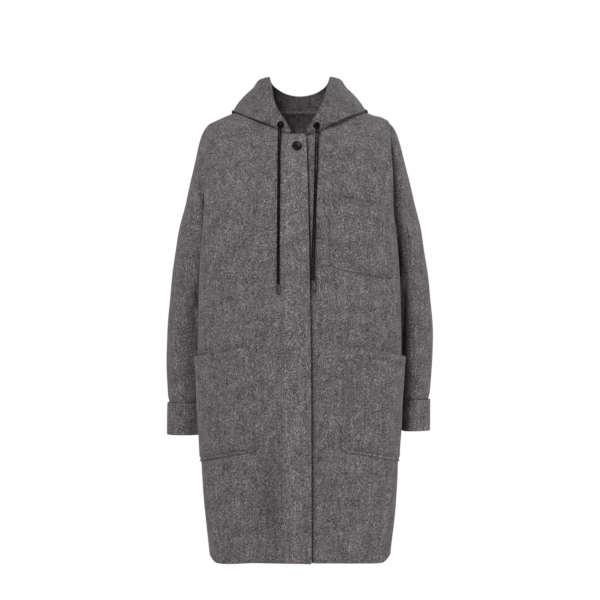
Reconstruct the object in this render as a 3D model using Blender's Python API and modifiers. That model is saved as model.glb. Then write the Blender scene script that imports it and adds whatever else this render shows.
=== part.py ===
"""Hooded wool parka in its worn shape, hollow inside.

Metres, +Z up. The wearer faces -Y, so the wearer's left side is +X.
The origin is the middle of the neck base, level with the shoulder line.
"""
import math
from collections import namedtuple

import bpy
import numpy as np
from mathutils import Vector

CLOTH = 0.0024  # wall of felted wool
SEAM = 0.0006  # gap between two pieces sewn edge to edge
LAY = 0.0006  # gap under a piece that lies on another
STEP_OUT = CLOTH + LAY  # how far a piece on top of a panel stands out from it

# Shoulder: a round from the yoke level up to the seam, which falls away from the neck.
SHOULDER_TOP = 0.030
SHOULDER_FALL = 1.40
SHOULDER_TAPER = 0.05
UP_YOKE = 1.0  # pattern height of the yoke level, hem being 0
UP_TOP = 1.42  # pattern height of the shoulder seam
NECK_X = 0.083
ARM_X = 0.186
FRONT_ROUND = 0.80  # 1 is an ellipse, smaller is a flatter front and back

# Neck opening, as heights of its lowest points.
NECK_FRONT_Z = -0.045
NECK_BACK_Z = 0.010
NECK_SQUARE = 2.5

UNDERARM_Z = -0.300
ARMHOLE_SQUARE = 2.7

# Centre front: the right front carries the placket over the left front.
LEFT_EDGE_X = -0.026
RIGHT_EDGE_X = 0.037
PLACKET_TOP_X = 0.0125
PLACKET_HEM_X = 0.0235
PLACKET_BEND = 3
PLACKET_COLUMNS = 3
OVERLAP_RAMP = 0.055

# Grid of a panel. The armhole is a notch in its upper outer corner.
NECK_COLUMNS = 4
SHOULDER_COLUMNS = 5
SIDE_COLUMNS = 4
LOWER_ROWS = 12
UPPER_ROWS = 7
FACE_COLUMNS = NECK_COLUMNS + SHOULDER_COLUMNS
COLUMNS = FACE_COLUMNS + SIDE_COLUMNS
ROWS = LOWER_ROWS + UPPER_ROWS
RING_POINTS = 2 * (UPPER_ROWS + SIDE_COLUMNS)
HEM_FOLD = 1.10  # across value at the hem under the notch corner
NOTCH_TURN = math.radians(55)  # where round the armhole the notch has its corner
NOTCH_UP = 0.90  # pattern height of the notch corner's row at the front edge
DENSE = 160  # steps of a curve that is then spread evenly
TURNED = [0, 3, 2, 1]  # order of a square's corners that turns it over and keeps its diagonal

# Half sections of the body, from hem to yoke. Each runs from centre front round the
# fold beside the arm, into the hollow where the sleeve hangs, to the blade and centre back.
Level = namedtuple("Level", "z front fold_x fold_y side_x side_y blade_x blade_y back")
LEVELS = (
    Level(-0.925, 0.126, 0.183, -0.040, 0.177, 0.005, 0.176, 0.050, 0.128),
    Level(-0.840, 0.130, 0.192, -0.050, 0.174, 0.008, 0.176, 0.060, 0.131),
    Level(-0.740, 0.134, 0.200, -0.057, 0.167, 0.010, 0.174, 0.070, 0.134),
    Level(-0.640, 0.137, 0.206, -0.062, 0.160, 0.012, 0.172, 0.080, 0.136),
    Level(-0.520, 0.139, 0.209, -0.066, 0.157, 0.014, 0.172, 0.086, 0.138),
    Level(-0.420, 0.140, 0.208, -0.068, 0.163, 0.013, 0.176, 0.084, 0.137),
    Level(-0.350, 0.140, 0.206, -0.068, 0.178, 0.011, 0.184, 0.080, 0.136),
    Level(-0.300, 0.140, 0.204, -0.067, 0.194, 0.009, 0.192, 0.076, 0.135),
    Level(-0.200, 0.138, 0.197, -0.064, 0.194, 0.006, 0.197, 0.066, 0.130),
)
HEM_Z = LEVELS[0].z
YOKE_Z = LEVELS[-1].z

# Soft folds of the body: where across and up the pattern, how wide, how deep (minus is a trough).
Fold = namedtuple("Fold", "side across width low high depth")
FOLDS = (
    Fold(-1, 0.36, 0.10, -0.20, 0.50, -0.0050),
    Fold(-1, 0.62, 0.12, -0.20, 0.28, 0.0030),
    Fold(+1, 0.52, 0.13, -0.20, 0.34, -0.0030),
    Fold(-1, 3.45, 0.14, -0.20, 0.80, 0.0060),
    Fold(+1, 3.50, 0.13, -0.20, 0.70, 0.0055),
    Fold(-1, 3.80, 0.11, -0.20, 0.62, -0.0045),
    Fold(+1, 3.76, 0.11, -0.20, 0.66, -0.0050),
)
FOLD_FADE = 0.22

# Sleeve sections from below the sleeve head to the cuff: outer and inner point in front
# view, then middle and half depth from front to back.
Section = namedtuple("Section", "out_x out_z in_x in_z mid_y half_y")
SLEEVE = (
    Section(0.2130, -0.075, 0.2070, -0.309, 0.006, 0.060),
    Section(0.2270, -0.136, 0.2070, -0.322, 0.008, 0.061),
    Section(0.2385, -0.190, 0.2040, -0.340, 0.010, 0.061),
    Section(0.2500, -0.240, 0.1990, -0.362, 0.013, 0.061),
    Section(0.2590, -0.295, 0.1930, -0.388, 0.017, 0.060),
    Section(0.2660, -0.345, 0.1870, -0.418, 0.021, 0.058),
    Section(0.2715, -0.400, 0.1815, -0.450, 0.024, 0.056),
    Section(0.2755, -0.450, 0.1780, -0.486, 0.026, 0.054),
    Section(0.2765, -0.500, 0.1755, -0.522, 0.027, 0.052),
    Section(0.2745, -0.550, 0.1755, -0.560, 0.027, 0.050),
    Section(0.2715, -0.600, 0.1765, -0.600, 0.026, 0.048),
)
CUFF = (
    Section(0.2725, -0.600, 0.1755, -0.600, 0.026, 0.049),
    Section(0.2728, -0.622, 0.1760, -0.622, 0.025, 0.049),
    Section(0.2728, -0.644, 0.1768, -0.644, 0.025, 0.0485),
    Section(0.2725, -0.666, 0.1778, -0.666, 0.024, 0.048),
)
SLEEVE_SQUARE = 2.2
HEAD_RINGS = 4
HEAD_START = 0.050  # pull of the armhole's own slope on the sleeve head
HEAD_END = 0.90  # pull of the first section's slope
SLEEVE_DROP = {-1: -0.004, +1: 0.003}  # the right sleeve hangs a little lower

# Hood lying down. Seam is the share of the neckline from centre front to centre back,
# fold the outermost line on the shoulders, edge the rim of the opening.
HoodRow = namedtuple("HoodRow", "seam fold_x fold_y fold_z edge_x edge_y edge_z")
HOOD = (
    HoodRow(0.06, 0.0165, -0.1085, -0.0405, 0.0165, -0.1095, -0.0365),
    HoodRow(0.13, 0.0340, -0.1090, -0.0340, 0.0260, -0.1100, -0.0220),
    HoodRow(0.22, 0.0540, -0.1050, -0.0280, 0.0340, -0.1040, -0.0080),
    HoodRow(0.33, 0.0800, -0.0940, -0.0180, 0.0435, -0.0900, 0.0120),
    HoodRow(0.44, 0.1080, -0.0700, -0.0040, 0.0520, -0.0680, 0.0360),
    HoodRow(0.54, 0.1320, -0.0300, 0.0060, 0.0585, -0.0350, 0.0620),
    HoodRow(0.62, 0.1425, 0.0150, 0.0090, 0.0625, 0.0080, 0.0790),
    HoodRow(0.72, 0.1380, 0.0680, -0.0040, 0.0620, 0.0520, 0.0770),
    HoodRow(0.82, 0.1160, 0.1220, -0.0500, 0.0510, 0.0920, 0.0660),
    HoodRow(0.91, 0.0690, 0.1530, -0.1300, 0.0290, 0.1170, 0.0560),
    HoodRow(1.00, 0.0000, 0.1640, -0.1620, 0.0000, 0.1260, 0.0520),
)
HOOD_SHIFT = -0.0020  # the hood closes on the overlap's middle line
HOOD_SECTIONS = 14
HOOD_STEPS = 14
HOOD_SHIFT_SHARE = 0.5  # share of the neckline over which that shift fades out
SEAM_SHIFT_SHARE = 0.3
NECK_LENGTH = 0.25  # about half of the neckline, centre front to centre back
HOOD_CROWN = 0.60  # how round the roll's top is
HOOD_TUCK = 0.60  # how far the lower layer is drawn out under the roll
HOOD_CROWN_FROM = 0.25  # share of the neckline where the round top starts
HOOD_CROWN_SHARE = 0.30
HOOD_AIR = 0.003  # room between the lying hood and the shoulders
HOOD_AIR_STEPS = 3  # steps from the neck seam to where that room is full
HOOD_REACH_UP = 0.72  # pattern height of the lowest place the hood lies on
SAMPLES = 66

# Patch pockets: bottom and top edge at places across the front, and how far the top stands off.
PocketRow = namedtuple("PocketRow", "across low high stand")
HIP_POCKET = (
    PocketRow(0.300, -0.6900, -0.4790, 0.0000),
    PocketRow(0.340, -0.7035, -0.4815, 0.0000),
    PocketRow(0.410, -0.7080, -0.4850, 0.0005),
    PocketRow(0.560, -0.7130, -0.4920, 0.0010),
    PocketRow(0.720, -0.7170, -0.4980, 0.0020),
    PocketRow(1.000, -0.7210, -0.5050, 0.0040),
    PocketRow(1.450, -0.7240, -0.5090, 0.0020),
)
CHEST_POCKET = (
    PocketRow(0.195, -0.3160, -0.1720, 0.0000),
    PocketRow(0.235, -0.3220, -0.1745, 0.0000),
    PocketRow(0.450, -0.3345, -0.1870, 0.0005),
    PocketRow(0.640, -0.3430, -0.1960, 0.0005),
    PocketRow(0.700, -0.3420, -0.1990, 0.0000),
)
POCKET_ROWS = 6
POCKET_SLANT = -0.030  # the inner edge of a hip pocket leans to the middle lower down
POCKET_GAP = 0.0003  # extra room under a pocket
POCKET_MARGIN = 0.2  # least distance of a column from a pocket's side edge, as a share of its spacing

# Button on the placket: radius and height of its turned profile, from the back to the dished face.
BUTTON_X = -0.0055
BUTTON_Z = -0.076
BUTTON_PROFILE = (
    (0.0000, 0.0000),
    (0.0085, 0.0000),
    (0.0100, 0.0012),
    (0.0100, 0.0028),
    (0.0090, 0.0040),
    (0.0074, 0.0038),
    (0.0064, 0.0025),
    (0.0000, 0.0022),
)
BUTTON_STEPS = 28
BUTTON_HOLE = 0.0010
BUTTON_HOLE_SPREAD = 0.0019
HOLE_STEPS = 10
HOLE_DEPTH = 0.020

# Eyelets on the hood's front ends, in front view.
EYELET_SPOTS = {-1: (-0.0390, -0.0295), +1: (0.0345, -0.0310)}
EYELET_RADIUS = 0.0050
EYELET_WIRE = 0.0015
EYELET_STEPS = 20
WIRE_STEPS = 8
EYELET_SECTIONS = 4  # hood sections, from the front, among which an eyelet is looked for

# Drawstring: two leather strands hang from each eyelet to one metal tip. Each row is a point
# of the pair's middle line and half the distance between the strands.
CordRow = namedtuple("CordRow", "x y z half")
CORD_RADIUS = 0.0014
CORD_STEP = 3.2  # points along a strand, in diameters
RIGHT_CORD = (
    CordRow(-0.0393, -0.1111, -0.0297, 0.00160),
    CordRow(-0.0397, -0.1140, -0.0300, 0.00160),
    CordRow(-0.0402, -0.1170, -0.0318, 0.00160),
    CordRow(-0.0406, -0.1187, -0.0350, 0.00165),
    CordRow(-0.0410, -0.1191, -0.0392, 0.00170),
    CordRow(-0.0414, -0.1188, -0.0445, 0.00175),
    CordRow(-0.0417, -0.1190, -0.0530, 0.00180),
    CordRow(-0.0420, -0.1205, -0.0650, 0.00185),
    CordRow(-0.0422, -0.1245, -0.0790, 0.00185),
    CordRow(-0.0424, -0.1300, -0.0990, 0.00180),
    CordRow(-0.0426, -0.1358, -0.1250, 0.00175),
    CordRow(-0.0428, -0.1400, -0.1520, 0.00170),
    CordRow(-0.0430, -0.1424, -0.1820, 0.00165),
    CordRow(-0.0432, -0.1438, -0.2150, 0.00165),
    CordRow(-0.0434, -0.1448, -0.2500, 0.00160),
    CordRow(-0.0436, -0.1460, -0.2900, 0.00160),
    CordRow(-0.0438, -0.1472, -0.3300, 0.00160),
    CordRow(-0.0439, -0.1478, -0.3560, 0.00160),
)
LEFT_CORD = (
    CordRow(0.0349, -0.1117, -0.0315, 0.00160),
    CordRow(0.0352, -0.1142, -0.0319, 0.00160),
    CordRow(0.0356, -0.1172, -0.0338, 0.00165),
    CordRow(0.0358, -0.1188, -0.0372, 0.00175),
    CordRow(0.0357, -0.1191, -0.0415, 0.00185),
    CordRow(0.0355, -0.1187, -0.0470, 0.00200),
    CordRow(0.0352, -0.1189, -0.0550, 0.00215),
    CordRow(0.0348, -0.1203, -0.0670, 0.00230),
    CordRow(0.0344, -0.1237, -0.0810, 0.00240),
    CordRow(0.0338, -0.1285, -0.1010, 0.00235),
    CordRow(0.0330, -0.1338, -0.1260, 0.00205),
    CordRow(0.0322, -0.1375, -0.1520, 0.00175),
    CordRow(0.0314, -0.1404, -0.1800, 0.00160),
    CordRow(0.0304, -0.1426, -0.2080, 0.00170),
    CordRow(0.0293, -0.1449, -0.2400, 0.00195),
    CordRow(0.0281, -0.1468, -0.2750, 0.00215),
    CordRow(0.0272, -0.1480, -0.3100, 0.00215),
    CordRow(0.0268, -0.1487, -0.3350, 0.00185),
    CordRow(0.0267, -0.1489, -0.3485, 0.00165),
)
TIP_RADIUS = 0.0040
TIP_LENGTH = 0.0185
TIP_ROUND = 0.0012
TIP_GAP = 0.0003
TIP_STEPS = 16


def smooth(t):
    """Soft step from 0 to 1."""
    t = np.clip(t, 0.0, 1.0)
    return t * t * (3.0 - 2.0 * t)


def through(rows, at):
    """Smooth curve through the rows of a table, read at values of its first column."""
    table = np.array(rows, dtype=float)
    knots = table[:, 0]
    order = np.argsort(knots)
    knots = knots[order]
    values = table[order, 1:]
    slopes = np.gradient(values, knots, axis=0)
    at = np.clip(np.asarray(at, dtype=float), knots[0], knots[-1])
    low = np.clip(np.searchsorted(knots, at) - 1, 0, len(knots) - 2)
    span = knots[low + 1] - knots[low]
    t = ((at - knots[low]) / span)[..., None]
    span = span[..., None]
    rise = values[low] * (1 + 2 * t) * (1 - t) ** 2 + values[low + 1] * t * t * (3 - 2 * t)
    bend = slopes[low] * t * (1 - t) ** 2 - slopes[low + 1] * t * t * (1 - t)
    return rise + bend * span


def unit(vectors):
    """Vectors cut or stretched to length one."""
    return vectors / np.maximum(np.linalg.norm(vectors, axis=-1, keepdims=True), 1e-12)


def turn_of(up):
    """Angle round the shoulder, 0 at the yoke and a quarter turn at the seam."""
    return np.clip((up - UP_YOKE) / (UP_TOP - UP_YOKE), 0.0, 1.0) * math.pi / 2


def body_base(side, across, up):
    """Body surface without folds. Across: 0 centre front, 1 fold, 2 side, 3 blade, 4 centre back."""
    across, up = np.broadcast_arrays(np.asarray(across, float), np.asarray(up, float))
    z = HEM_Z + (YOKE_Z - HEM_Z) * np.clip(up, 0.0, UP_YOKE)
    front, fold_x, fold_y, side_x, side_y, blade_x, blade_y, back = np.moveaxis(through(LEVELS, z), -1, 0)
    turn = across * math.pi / 2
    front_x = fold_x * np.sin(turn)
    front_y = fold_y - (front + fold_y) * np.abs(np.cos(turn)) ** FRONT_ROUND
    into = smooth(across - 1)
    into_x = fold_x + (side_x - fold_x) * into
    into_y = fold_y + (side_y - fold_y) * (across - 1)
    out = smooth(across - 2)
    out_x = side_x + (blade_x - side_x) * out
    out_y = side_y + (blade_y - side_y) * (across - 2)
    back_x = blade_x * np.sin((4 - across) * math.pi / 2)
    back_y = blade_y + (back - blade_y) * np.abs(np.cos((4 - across) * math.pi / 2)) ** FRONT_ROUND
    zones = [across < 1, across < 2, across < 3]
    x = np.select(zones, [front_x, into_x, out_x], back_x)
    y = np.select(zones, [front_y, into_y, out_y], back_y)
    shoulder = turn_of(up)
    x = x * (1 - SHOULDER_TAPER * (1 - np.cos(shoulder)))
    top = SHOULDER_TOP - SHOULDER_FALL * x * x
    z = z + (top - YOKE_Z) * np.sin(shoulder)
    return np.stack([side * x, y * np.cos(shoulder), z], axis=-1)


def body_normal(side, across, up):
    """Outward direction of the body surface."""
    step = 1e-3
    up_low = np.clip(up - step, 0.0, UP_TOP - 2 * step)
    along = body_base(side, across + step, up) - body_base(side, across - step, up)
    rise = body_base(side, across, up_low + 2 * step) - body_base(side, across, up_low)
    return side * unit(np.cross(along, rise))


def fold_height(side, across, up):
    """How far the soft folds move the body surface out."""
    height = np.zeros(np.broadcast(across, up).shape)
    for fold in FOLDS:
        if fold.side == side:
            bell = np.exp(-(((across - fold.across) / fold.width) ** 2))
            fade = smooth((up - fold.low) / FOLD_FADE) * smooth((fold.high - up) / FOLD_FADE)
            height = height + fold.depth * bell * fade
    return height


def body(side, across, up, lift=0.0):
    """Point on the body's cloth, moved out by lift."""
    height = fold_height(side, across, up) + lift
    return body_base(side, across, up) + body_normal(side, across, up) * height[..., None]


def up_at(z, top=SHOULDER_TOP):
    """Pattern height of a level, for a column whose shoulder seam is at top."""
    below = (z - HEM_Z) / (YOKE_Z - HEM_Z)
    turn = np.arcsin(np.clip((z - YOKE_Z) / (top - YOKE_Z), 0.0, 1.0))
    above = UP_YOKE + turn / (math.pi / 2) * (UP_TOP - UP_YOKE)
    return np.where(np.asarray(z) < YOKE_Z, below, above)


def across_at(x, up):
    """Across value of the front column at distance x from the middle plane."""
    z = HEM_Z + (YOKE_Z - HEM_Z) * np.clip(up, 0.0, UP_YOKE)
    half = through(LEVELS, z)[..., 1] * (1 - SHOULDER_TAPER * (1 - np.cos(turn_of(up))))
    return np.arcsin(x / half) / (math.pi / 2)


UNDERARM_UP = (UNDERARM_Z - HEM_Z) / (YOKE_Z - HEM_Z)
NECK_FRONT_UP = float(up_at(NECK_FRONT_Z))
NECK_BACK_UP = float(up_at(NECK_BACK_Z))
NECK_ACROSS = float(across_at(NECK_X, np.array(UP_TOP)))
ARM_ACROSS = float(across_at(ARM_X, np.array(UP_TOP)))


def neck_up(across, low):
    """Height of the neckline, lowest at the middle and at the shoulder seam at its end."""
    share = np.clip(np.abs(across) / NECK_ACROSS, 0.0, 1.0)
    return UP_TOP - (UP_TOP - low) * (1 - share**NECK_SQUARE) ** (1 / NECK_SQUARE)


def on_middle(middle, across):
    """Across value counted from centre front (middle 0) or from centre back (middle 4)."""
    return 4.0 - across if middle else across


def even(side, middle, line, count):
    """A dense line on the body, spread to evenly spaced points. A line is rows of across and up."""
    points = body_base(side, on_middle(middle, line[:, 0]), line[:, 1])
    length = np.concatenate([[0.0], np.cumsum(np.linalg.norm(np.diff(points, axis=0), axis=1))])
    marks = np.linspace(0.0, length[-1], count + 1)
    return np.stack([np.interp(marks, length, line[:, 0]), np.interp(marks, length, line[:, 1])], axis=1)


def straight(start, end, count):
    """Evenly spaced points of the pattern from start to end."""
    return np.linspace(start, end, count + 1)


def armhole(side, middle):
    """Armhole as two lines: shoulder to notch corner, and notch corner to underarm."""
    lines = []
    for low, high, count in ((0.0, NOTCH_TURN, UPPER_ROWS), (NOTCH_TURN, math.pi / 2, SIDE_COLUMNS)):
        angle = np.linspace(low, high, DENSE)
        down = np.sin(angle) ** (2 / ARMHOLE_SQUARE)
        keep = np.abs(np.cos(angle)) ** (2 / ARMHOLE_SQUARE)
        line = np.stack([2.0 + (ARM_ACROSS - 2.0) * keep, UP_TOP + (UNDERARM_UP - UP_TOP) * down], axis=1)
        lines.append(even(side, middle, line, count))
    return lines


def blend(bottom, top, left, right):
    """Grid that fills four edges, each given in grid points, by blending across and up."""
    u = np.linspace(0.0, 1.0, len(bottom))[None, :, None]
    w = np.linspace(0.0, 1.0, len(left))[:, None, None]
    sides = (1 - u) * left[:, None] + u * right[:, None]
    ends = (1 - w) * bottom[None] + w * top[None]
    low = (1 - u) * bottom[0] + u * bottom[-1]
    high = (1 - u) * top[0] + u * top[-1]
    return sides + ends - (1 - w) * low - w * high


def panel(side, middle, start_x):
    """Pattern of a front (middle 0) or half back (middle 4): grids of across and up."""
    upper, lower = armhole(side, middle)
    low = NECK_BACK_UP if middle else NECK_FRONT_UP
    start = start_x / NECK_X * NECK_ACROSS
    bend = np.sin(np.linspace(0.0, math.pi / 2, DENSE))
    neck = start + (NECK_ACROSS - start) * bend
    neck_line = even(side, middle, np.stack([neck, neck_up(neck, low)], axis=1), NECK_COLUMNS)
    seam = np.linspace((NECK_ACROSS, UP_TOP), (ARM_ACROSS, UP_TOP), DENSE)
    top = np.concatenate([neck_line, even(side, middle, seam, SHOULDER_COLUMNS)[1:]])
    rise_above = straight(NOTCH_UP, top[0, 1], UPPER_ROWS)
    rise = np.concatenate([straight(0.0, NOTCH_UP, LOWER_ROWS), rise_above[1:]])
    left = np.stack([across_at(start_x, rise), rise], axis=1)
    left[-1] = top[0]
    fold = straight((HEM_FOLD, 0.0), lower[0], LOWER_ROWS)
    right = np.concatenate([fold, upper[-2::-1]])
    face = blend(straight(left[0], right[0], FACE_COLUMNS), top, left, right)
    seam_line = straight((2.0, 0.0), (2.0, UNDERARM_UP), LOWER_ROWS)
    strip = blend(straight(right[0], seam_line[0], SIDE_COLUMNS), lower, fold, seam_line)
    grid = np.repeat(face[:, -1:], COLUMNS + 1, axis=1)
    grid[:, : FACE_COLUMNS + 1] = face
    grid[: LOWER_ROWS + 1, FACE_COLUMNS:] = strip
    return on_middle(middle, grid[:, :, 0]), grid[:, :, 1]


def notch():
    """Which squares of a panel grid are cloth: all but the armhole notch."""
    keep = np.ones((ROWS, COLUMNS), dtype=bool)
    keep[LOWER_ROWS:, FACE_COLUMNS:] = False
    return keep


def overlap_lift(across):
    """How far the right front steps out to carry the placket over the left front."""
    edge = float(across_at(RIGHT_EDGE_X, np.array(UP_YOKE)))
    ramp = OVERLAP_RAMP / LEVELS[-1].fold_x / (math.pi / 2)
    return STEP_OUT * smooth((edge + ramp - across) / ramp)


def quads(rows, columns, ring):
    """Faces of a grid of points, closed round when it is a ring."""
    count = columns if ring else columns - 1
    row, column = np.meshgrid(np.arange(rows - 1), np.arange(count), indexing="ij")
    after = (column + 1) % columns
    here = row * columns
    above = here + columns
    corners = (here + column, here + after, above + after, above + column)
    return np.stack([corner.ravel() for corner in corners], axis=1)


def rim_edges(faces):
    """Edges with a face on one side only, as pairs that run with that face."""
    pairs = np.concatenate([faces[:, [k, (k + 1) % 4]] for k in range(4)])
    known = set(map(tuple, pairs.tolist()))
    return np.array([pair for pair in pairs.tolist() if (pair[1], pair[0]) not in known])


def add_object(name, mesh, material, group):
    """Puts a mesh into the scene under its name, with its material."""
    mesh.materials.append(material)
    item = bpy.data.objects.new(name, mesh)
    group.objects.link(item)
    for polygon in mesh.polygons:
        polygon.use_smooth = True
    return item


def cloth_wall(name, middle, out, material, group, ring=False, keep=None):
    """Closed wall of cloth about a grid of points, its edges drawn in by half the seam gap."""
    faces = quads(*middle.shape[:2], ring)
    if keep is not None:
        faces = faces[keep.ravel()]
    used, faces = np.unique(faces, return_inverse=True)
    faces = faces.reshape(-1, 4)
    points = middle.reshape(-1, 3)[used]
    out = out.reshape(-1, 3)[used]
    first, second, third, fourth = (points[faces[:, k]] for k in range(4))
    facing = np.cross(third - first, fourth - second)
    if (facing * out[faces[:, 0]]).sum() < 0:
        faces = faces[:, TURNED]
    rim = rim_edges(faces)
    ahead = dict(rim.tolist())
    behind = {end: start for start, end in ahead.items()}
    edge = np.array(list(ahead))
    run = points[[ahead[k] for k in edge]] - points[[behind[k] for k in edge]]
    points[edge] += SEAM / 2 * unit(np.cross(out[edge], unit(run)))
    count = len(points)
    sheets = np.concatenate([points + out * CLOTH / 2, points - out * CLOTH / 2])
    rims = np.stack([rim[:, 1], rim[:, 0], rim[:, 0] + count, rim[:, 1] + count], axis=1)
    walls = np.concatenate([faces, faces[:, TURNED] + count, rims])
    mesh = bpy.data.meshes.new(name)
    mesh.from_pydata(sheets.tolist(), [], walls.tolist())
    return add_object(name, mesh, material, group)


def on_body(name, side, across, up, lift, material, group, keep=None):
    """Cloth piece that follows the body, lifted off its surface."""
    points = body(side, across, up, lift)
    out = body_normal(side, across, up)
    return cloth_wall(name, points, out, material, group, keep=keep)


def armhole_ring():
    """Points, directions out of the body and directions off the panel, round the left armhole."""
    front = np.concatenate([line[:-1] for line in armhole(1, 0)])
    back = np.concatenate([line[:-1] for line in armhole(1, 4)] + [armhole(1, 4)[1][-1:]])
    across = np.concatenate([front[:, 0], on_middle(4, back[:0:-1, 0])])
    up = np.concatenate([front[:, 1], back[:0:-1, 1]])
    points = body_base(1, across, up)
    out = body_normal(1, across, up)
    along = unit(np.roll(points, -1, axis=0) - np.roll(points, 1, axis=0))
    return points, out, unit(np.cross(out, along))


def section_ring(section):
    """Ring of points round the sleeve at one section, from the outside by the front."""
    dense = np.linspace(0.0, 2 * math.pi, 8 * DENSE + 1)
    outward = np.sign(np.cos(dense)) * np.abs(np.cos(dense)) ** (2 / SLEEVE_SQUARE)
    forward = np.sign(np.sin(dense)) * np.abs(np.sin(dense)) ** (2 / SLEEVE_SQUARE)
    outer = np.array([section.out_x, section.mid_y, section.out_z])
    inner = np.array([section.in_x, section.mid_y, section.in_z])
    depth = np.array([0.0, -section.half_y, 0.0])
    points = (outer + inner) / 2 + outward[:, None] * (outer - inner) / 2 + forward[:, None] * depth
    length = np.concatenate([[0.0], np.cumsum(np.linalg.norm(np.diff(points, axis=0), axis=1))])
    marks = np.linspace(0.0, length[-1], RING_POINTS + 1)[:-1]
    return np.stack([np.interp(marks, length, points[:, axis]) for axis in range(3)], axis=1)


def sleeve_rings():
    """Rings of the left sleeve from the armhole to the cuff seam, and directions out at the armhole."""
    start, out, off = armhole_ring()
    rings = [section_ring(section) for section in SLEEVE]
    first = rings[0]
    onward = (rings[1] - rings[0]) * HEAD_END
    head = []
    for step in range(HEAD_RINGS):
        t = step / HEAD_RINGS
        blend = start * (1 + 2 * t) * (1 - t) ** 2 + first * t * t * (3 - 2 * t)
        pull = off * HEAD_START * t * (1 - t) ** 2 - onward * t * t * (1 - t)
        head.append(blend + pull)
    return np.array(head + rings), out


def ring_out(rings):
    """Directions out of a tube of rings."""
    along = np.gradient(rings, axis=0)
    around = np.roll(rings, -1, axis=1) - np.roll(rings, 1, axis=1)
    return unit(np.cross(around, along))


def tube(name, side, rings, out, drop, material, group):
    """Sleeve or cuff: wall about rings of points, mirrored for the right side."""
    down = np.maximum((rings[:, :, 2] - UNDERARM_Z) / (CUFF[0].out_z - UNDERARM_Z), 0.0)
    rings = rings.copy()
    rings[:, :, 2] += drop * down
    mirror = np.array([side, 1.0, 1.0])
    return cloth_wall(name, rings * mirror, out * mirror, material, group, ring=True)


def neckline(side):
    """Dense neckline of one side from centre front over the shoulder to centre back."""
    half = np.linspace(0.0, math.pi / 2, DENSE)
    neck = NECK_ACROSS * np.sin(half)
    across = np.concatenate([neck, 4 - neck[::-1]])
    up = np.concatenate([neck_up(neck, NECK_FRONT_UP), neck_up(neck[::-1], NECK_BACK_UP)])
    lift = overlap_lift(across) if side < 0 else np.zeros(across.shape)
    points = body(side, across, up, lift)
    length = np.concatenate([[0.0], np.cumsum(np.linalg.norm(np.diff(points, axis=0), axis=1))])
    return length / length[-1], points, body_normal(side, across, up)


def body_samples(side):
    """Points and outward directions spread over one side of the body near the neck."""
    up = np.linspace(HOOD_REACH_UP, UP_TOP, SAMPLES)
    points = []
    out = []
    for low, high in ((0.0, 1.0), (3.0, 4.0)):
        across, rows = np.meshgrid(np.linspace(low, high, SAMPLES), up)
        lift = overlap_lift(across) if side < 0 else np.zeros(across.shape)
        points.append(body(side, across, rows, lift).reshape(-1, 3))
        out.append(body_normal(side, across, rows).reshape(-1, 3))
    return np.concatenate(points), np.concatenate(out)


def clear_of_body(grid, side, least):
    """Moves points that are too near the body out to the least distance from it."""
    points, out = body_samples(side)
    flat = grid.reshape(-1, 3)
    near = np.array([np.argmin(((points - one) ** 2).sum(axis=1)) for one in flat])
    height = ((flat - points[near]) * out[near]).sum(axis=1)
    lift = np.maximum(least - height, 0.0)
    return (flat + out[near] * lift[:, None]).reshape(grid.shape)


def hood_grid(side):
    """Half hood: from the neck seam out to the fold on the shoulder, up and in to the opening edge."""
    share, points, out = neckline(side)
    at = np.linspace(HOOD[0].seam, HOOD[-1].seam, HOOD_SECTIONS + 1)
    last = HOOD[-2]
    beyond = last._replace(seam=2.0 - last.seam, fold_x=-last.fold_x, edge_x=-last.edge_x)
    rows = through(HOOD + (beyond,), at)
    shift = HOOD_SHIFT * (1 - smooth(at / HOOD_SHIFT_SHARE))
    along = HOOD_SHIFT / NECK_LENGTH * (1 - smooth(at / SEAM_SHIFT_SHARE))
    seam_at = np.clip(at + side * along, 0.0, 1.0)
    seam = np.stack([np.interp(seam_at, share, points[:, axis]) for axis in range(3)], axis=1)
    rise = np.stack([np.interp(at, share, out[:, axis]) for axis in range(3)], axis=1)
    seam = seam + unit(rise) * STEP_OUT
    fold = rows[:, 0:3] * np.array([side, 1.0, 1.0])
    edge = rows[:, 3:6] * np.array([side, 1.0, 1.0])
    fold[:, 0] += shift
    edge[:, 0] += shift
    # Cubic curve: the first pull point draws it out to the fold, the second rounds the roll's top.
    pull = (8 * fold - seam - edge) / 6
    crown = edge + HOOD_CROWN * (fold - edge) * np.array([1.0, 1.0, 0.0])
    rounded = smooth((at - HOOD_CROWN_FROM) / HOOD_CROWN_SHARE)[:, None]
    upper = pull + (crown - pull) * rounded
    lower = pull + HOOD_TUCK * (pull - upper)
    t = np.linspace(0.0, 1.0, DENSE)[:, None, None]
    pulled = lower * 3 * t * (1 - t) ** 2 + upper * 3 * t * t * (1 - t)
    grid = evenly_down(seam * (1 - t) ** 3 + pulled + edge * t**3, HOOD_STEPS)
    least = STEP_OUT + HOOD_AIR * smooth(np.arange(HOOD_STEPS + 1) / HOOD_AIR_STEPS)
    return clear_of_body(grid, side, np.repeat(least, grid.shape[1]))


def evenly_down(grid, count):
    """Same sheet with its rows spread evenly along each column."""
    columns = []
    for column in np.moveaxis(grid, 1, 0):
        length = np.concatenate([[0.0], np.cumsum(np.linalg.norm(np.diff(column, axis=0), axis=1))])
        marks = np.linspace(0.0, length[-1], count + 1)
        columns.append(np.stack([np.interp(marks, length, column[:, axis]) for axis in range(3)], axis=1))
    return np.stack(columns, axis=1)


def grid_out(grid, side):
    """Directions out of a sheet of points."""
    down = np.gradient(grid, axis=0)
    along = np.gradient(grid, axis=1)
    out = side * np.cross(along, down)
    out[:, -1, 0] = 0.0
    return unit(out)


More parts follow.
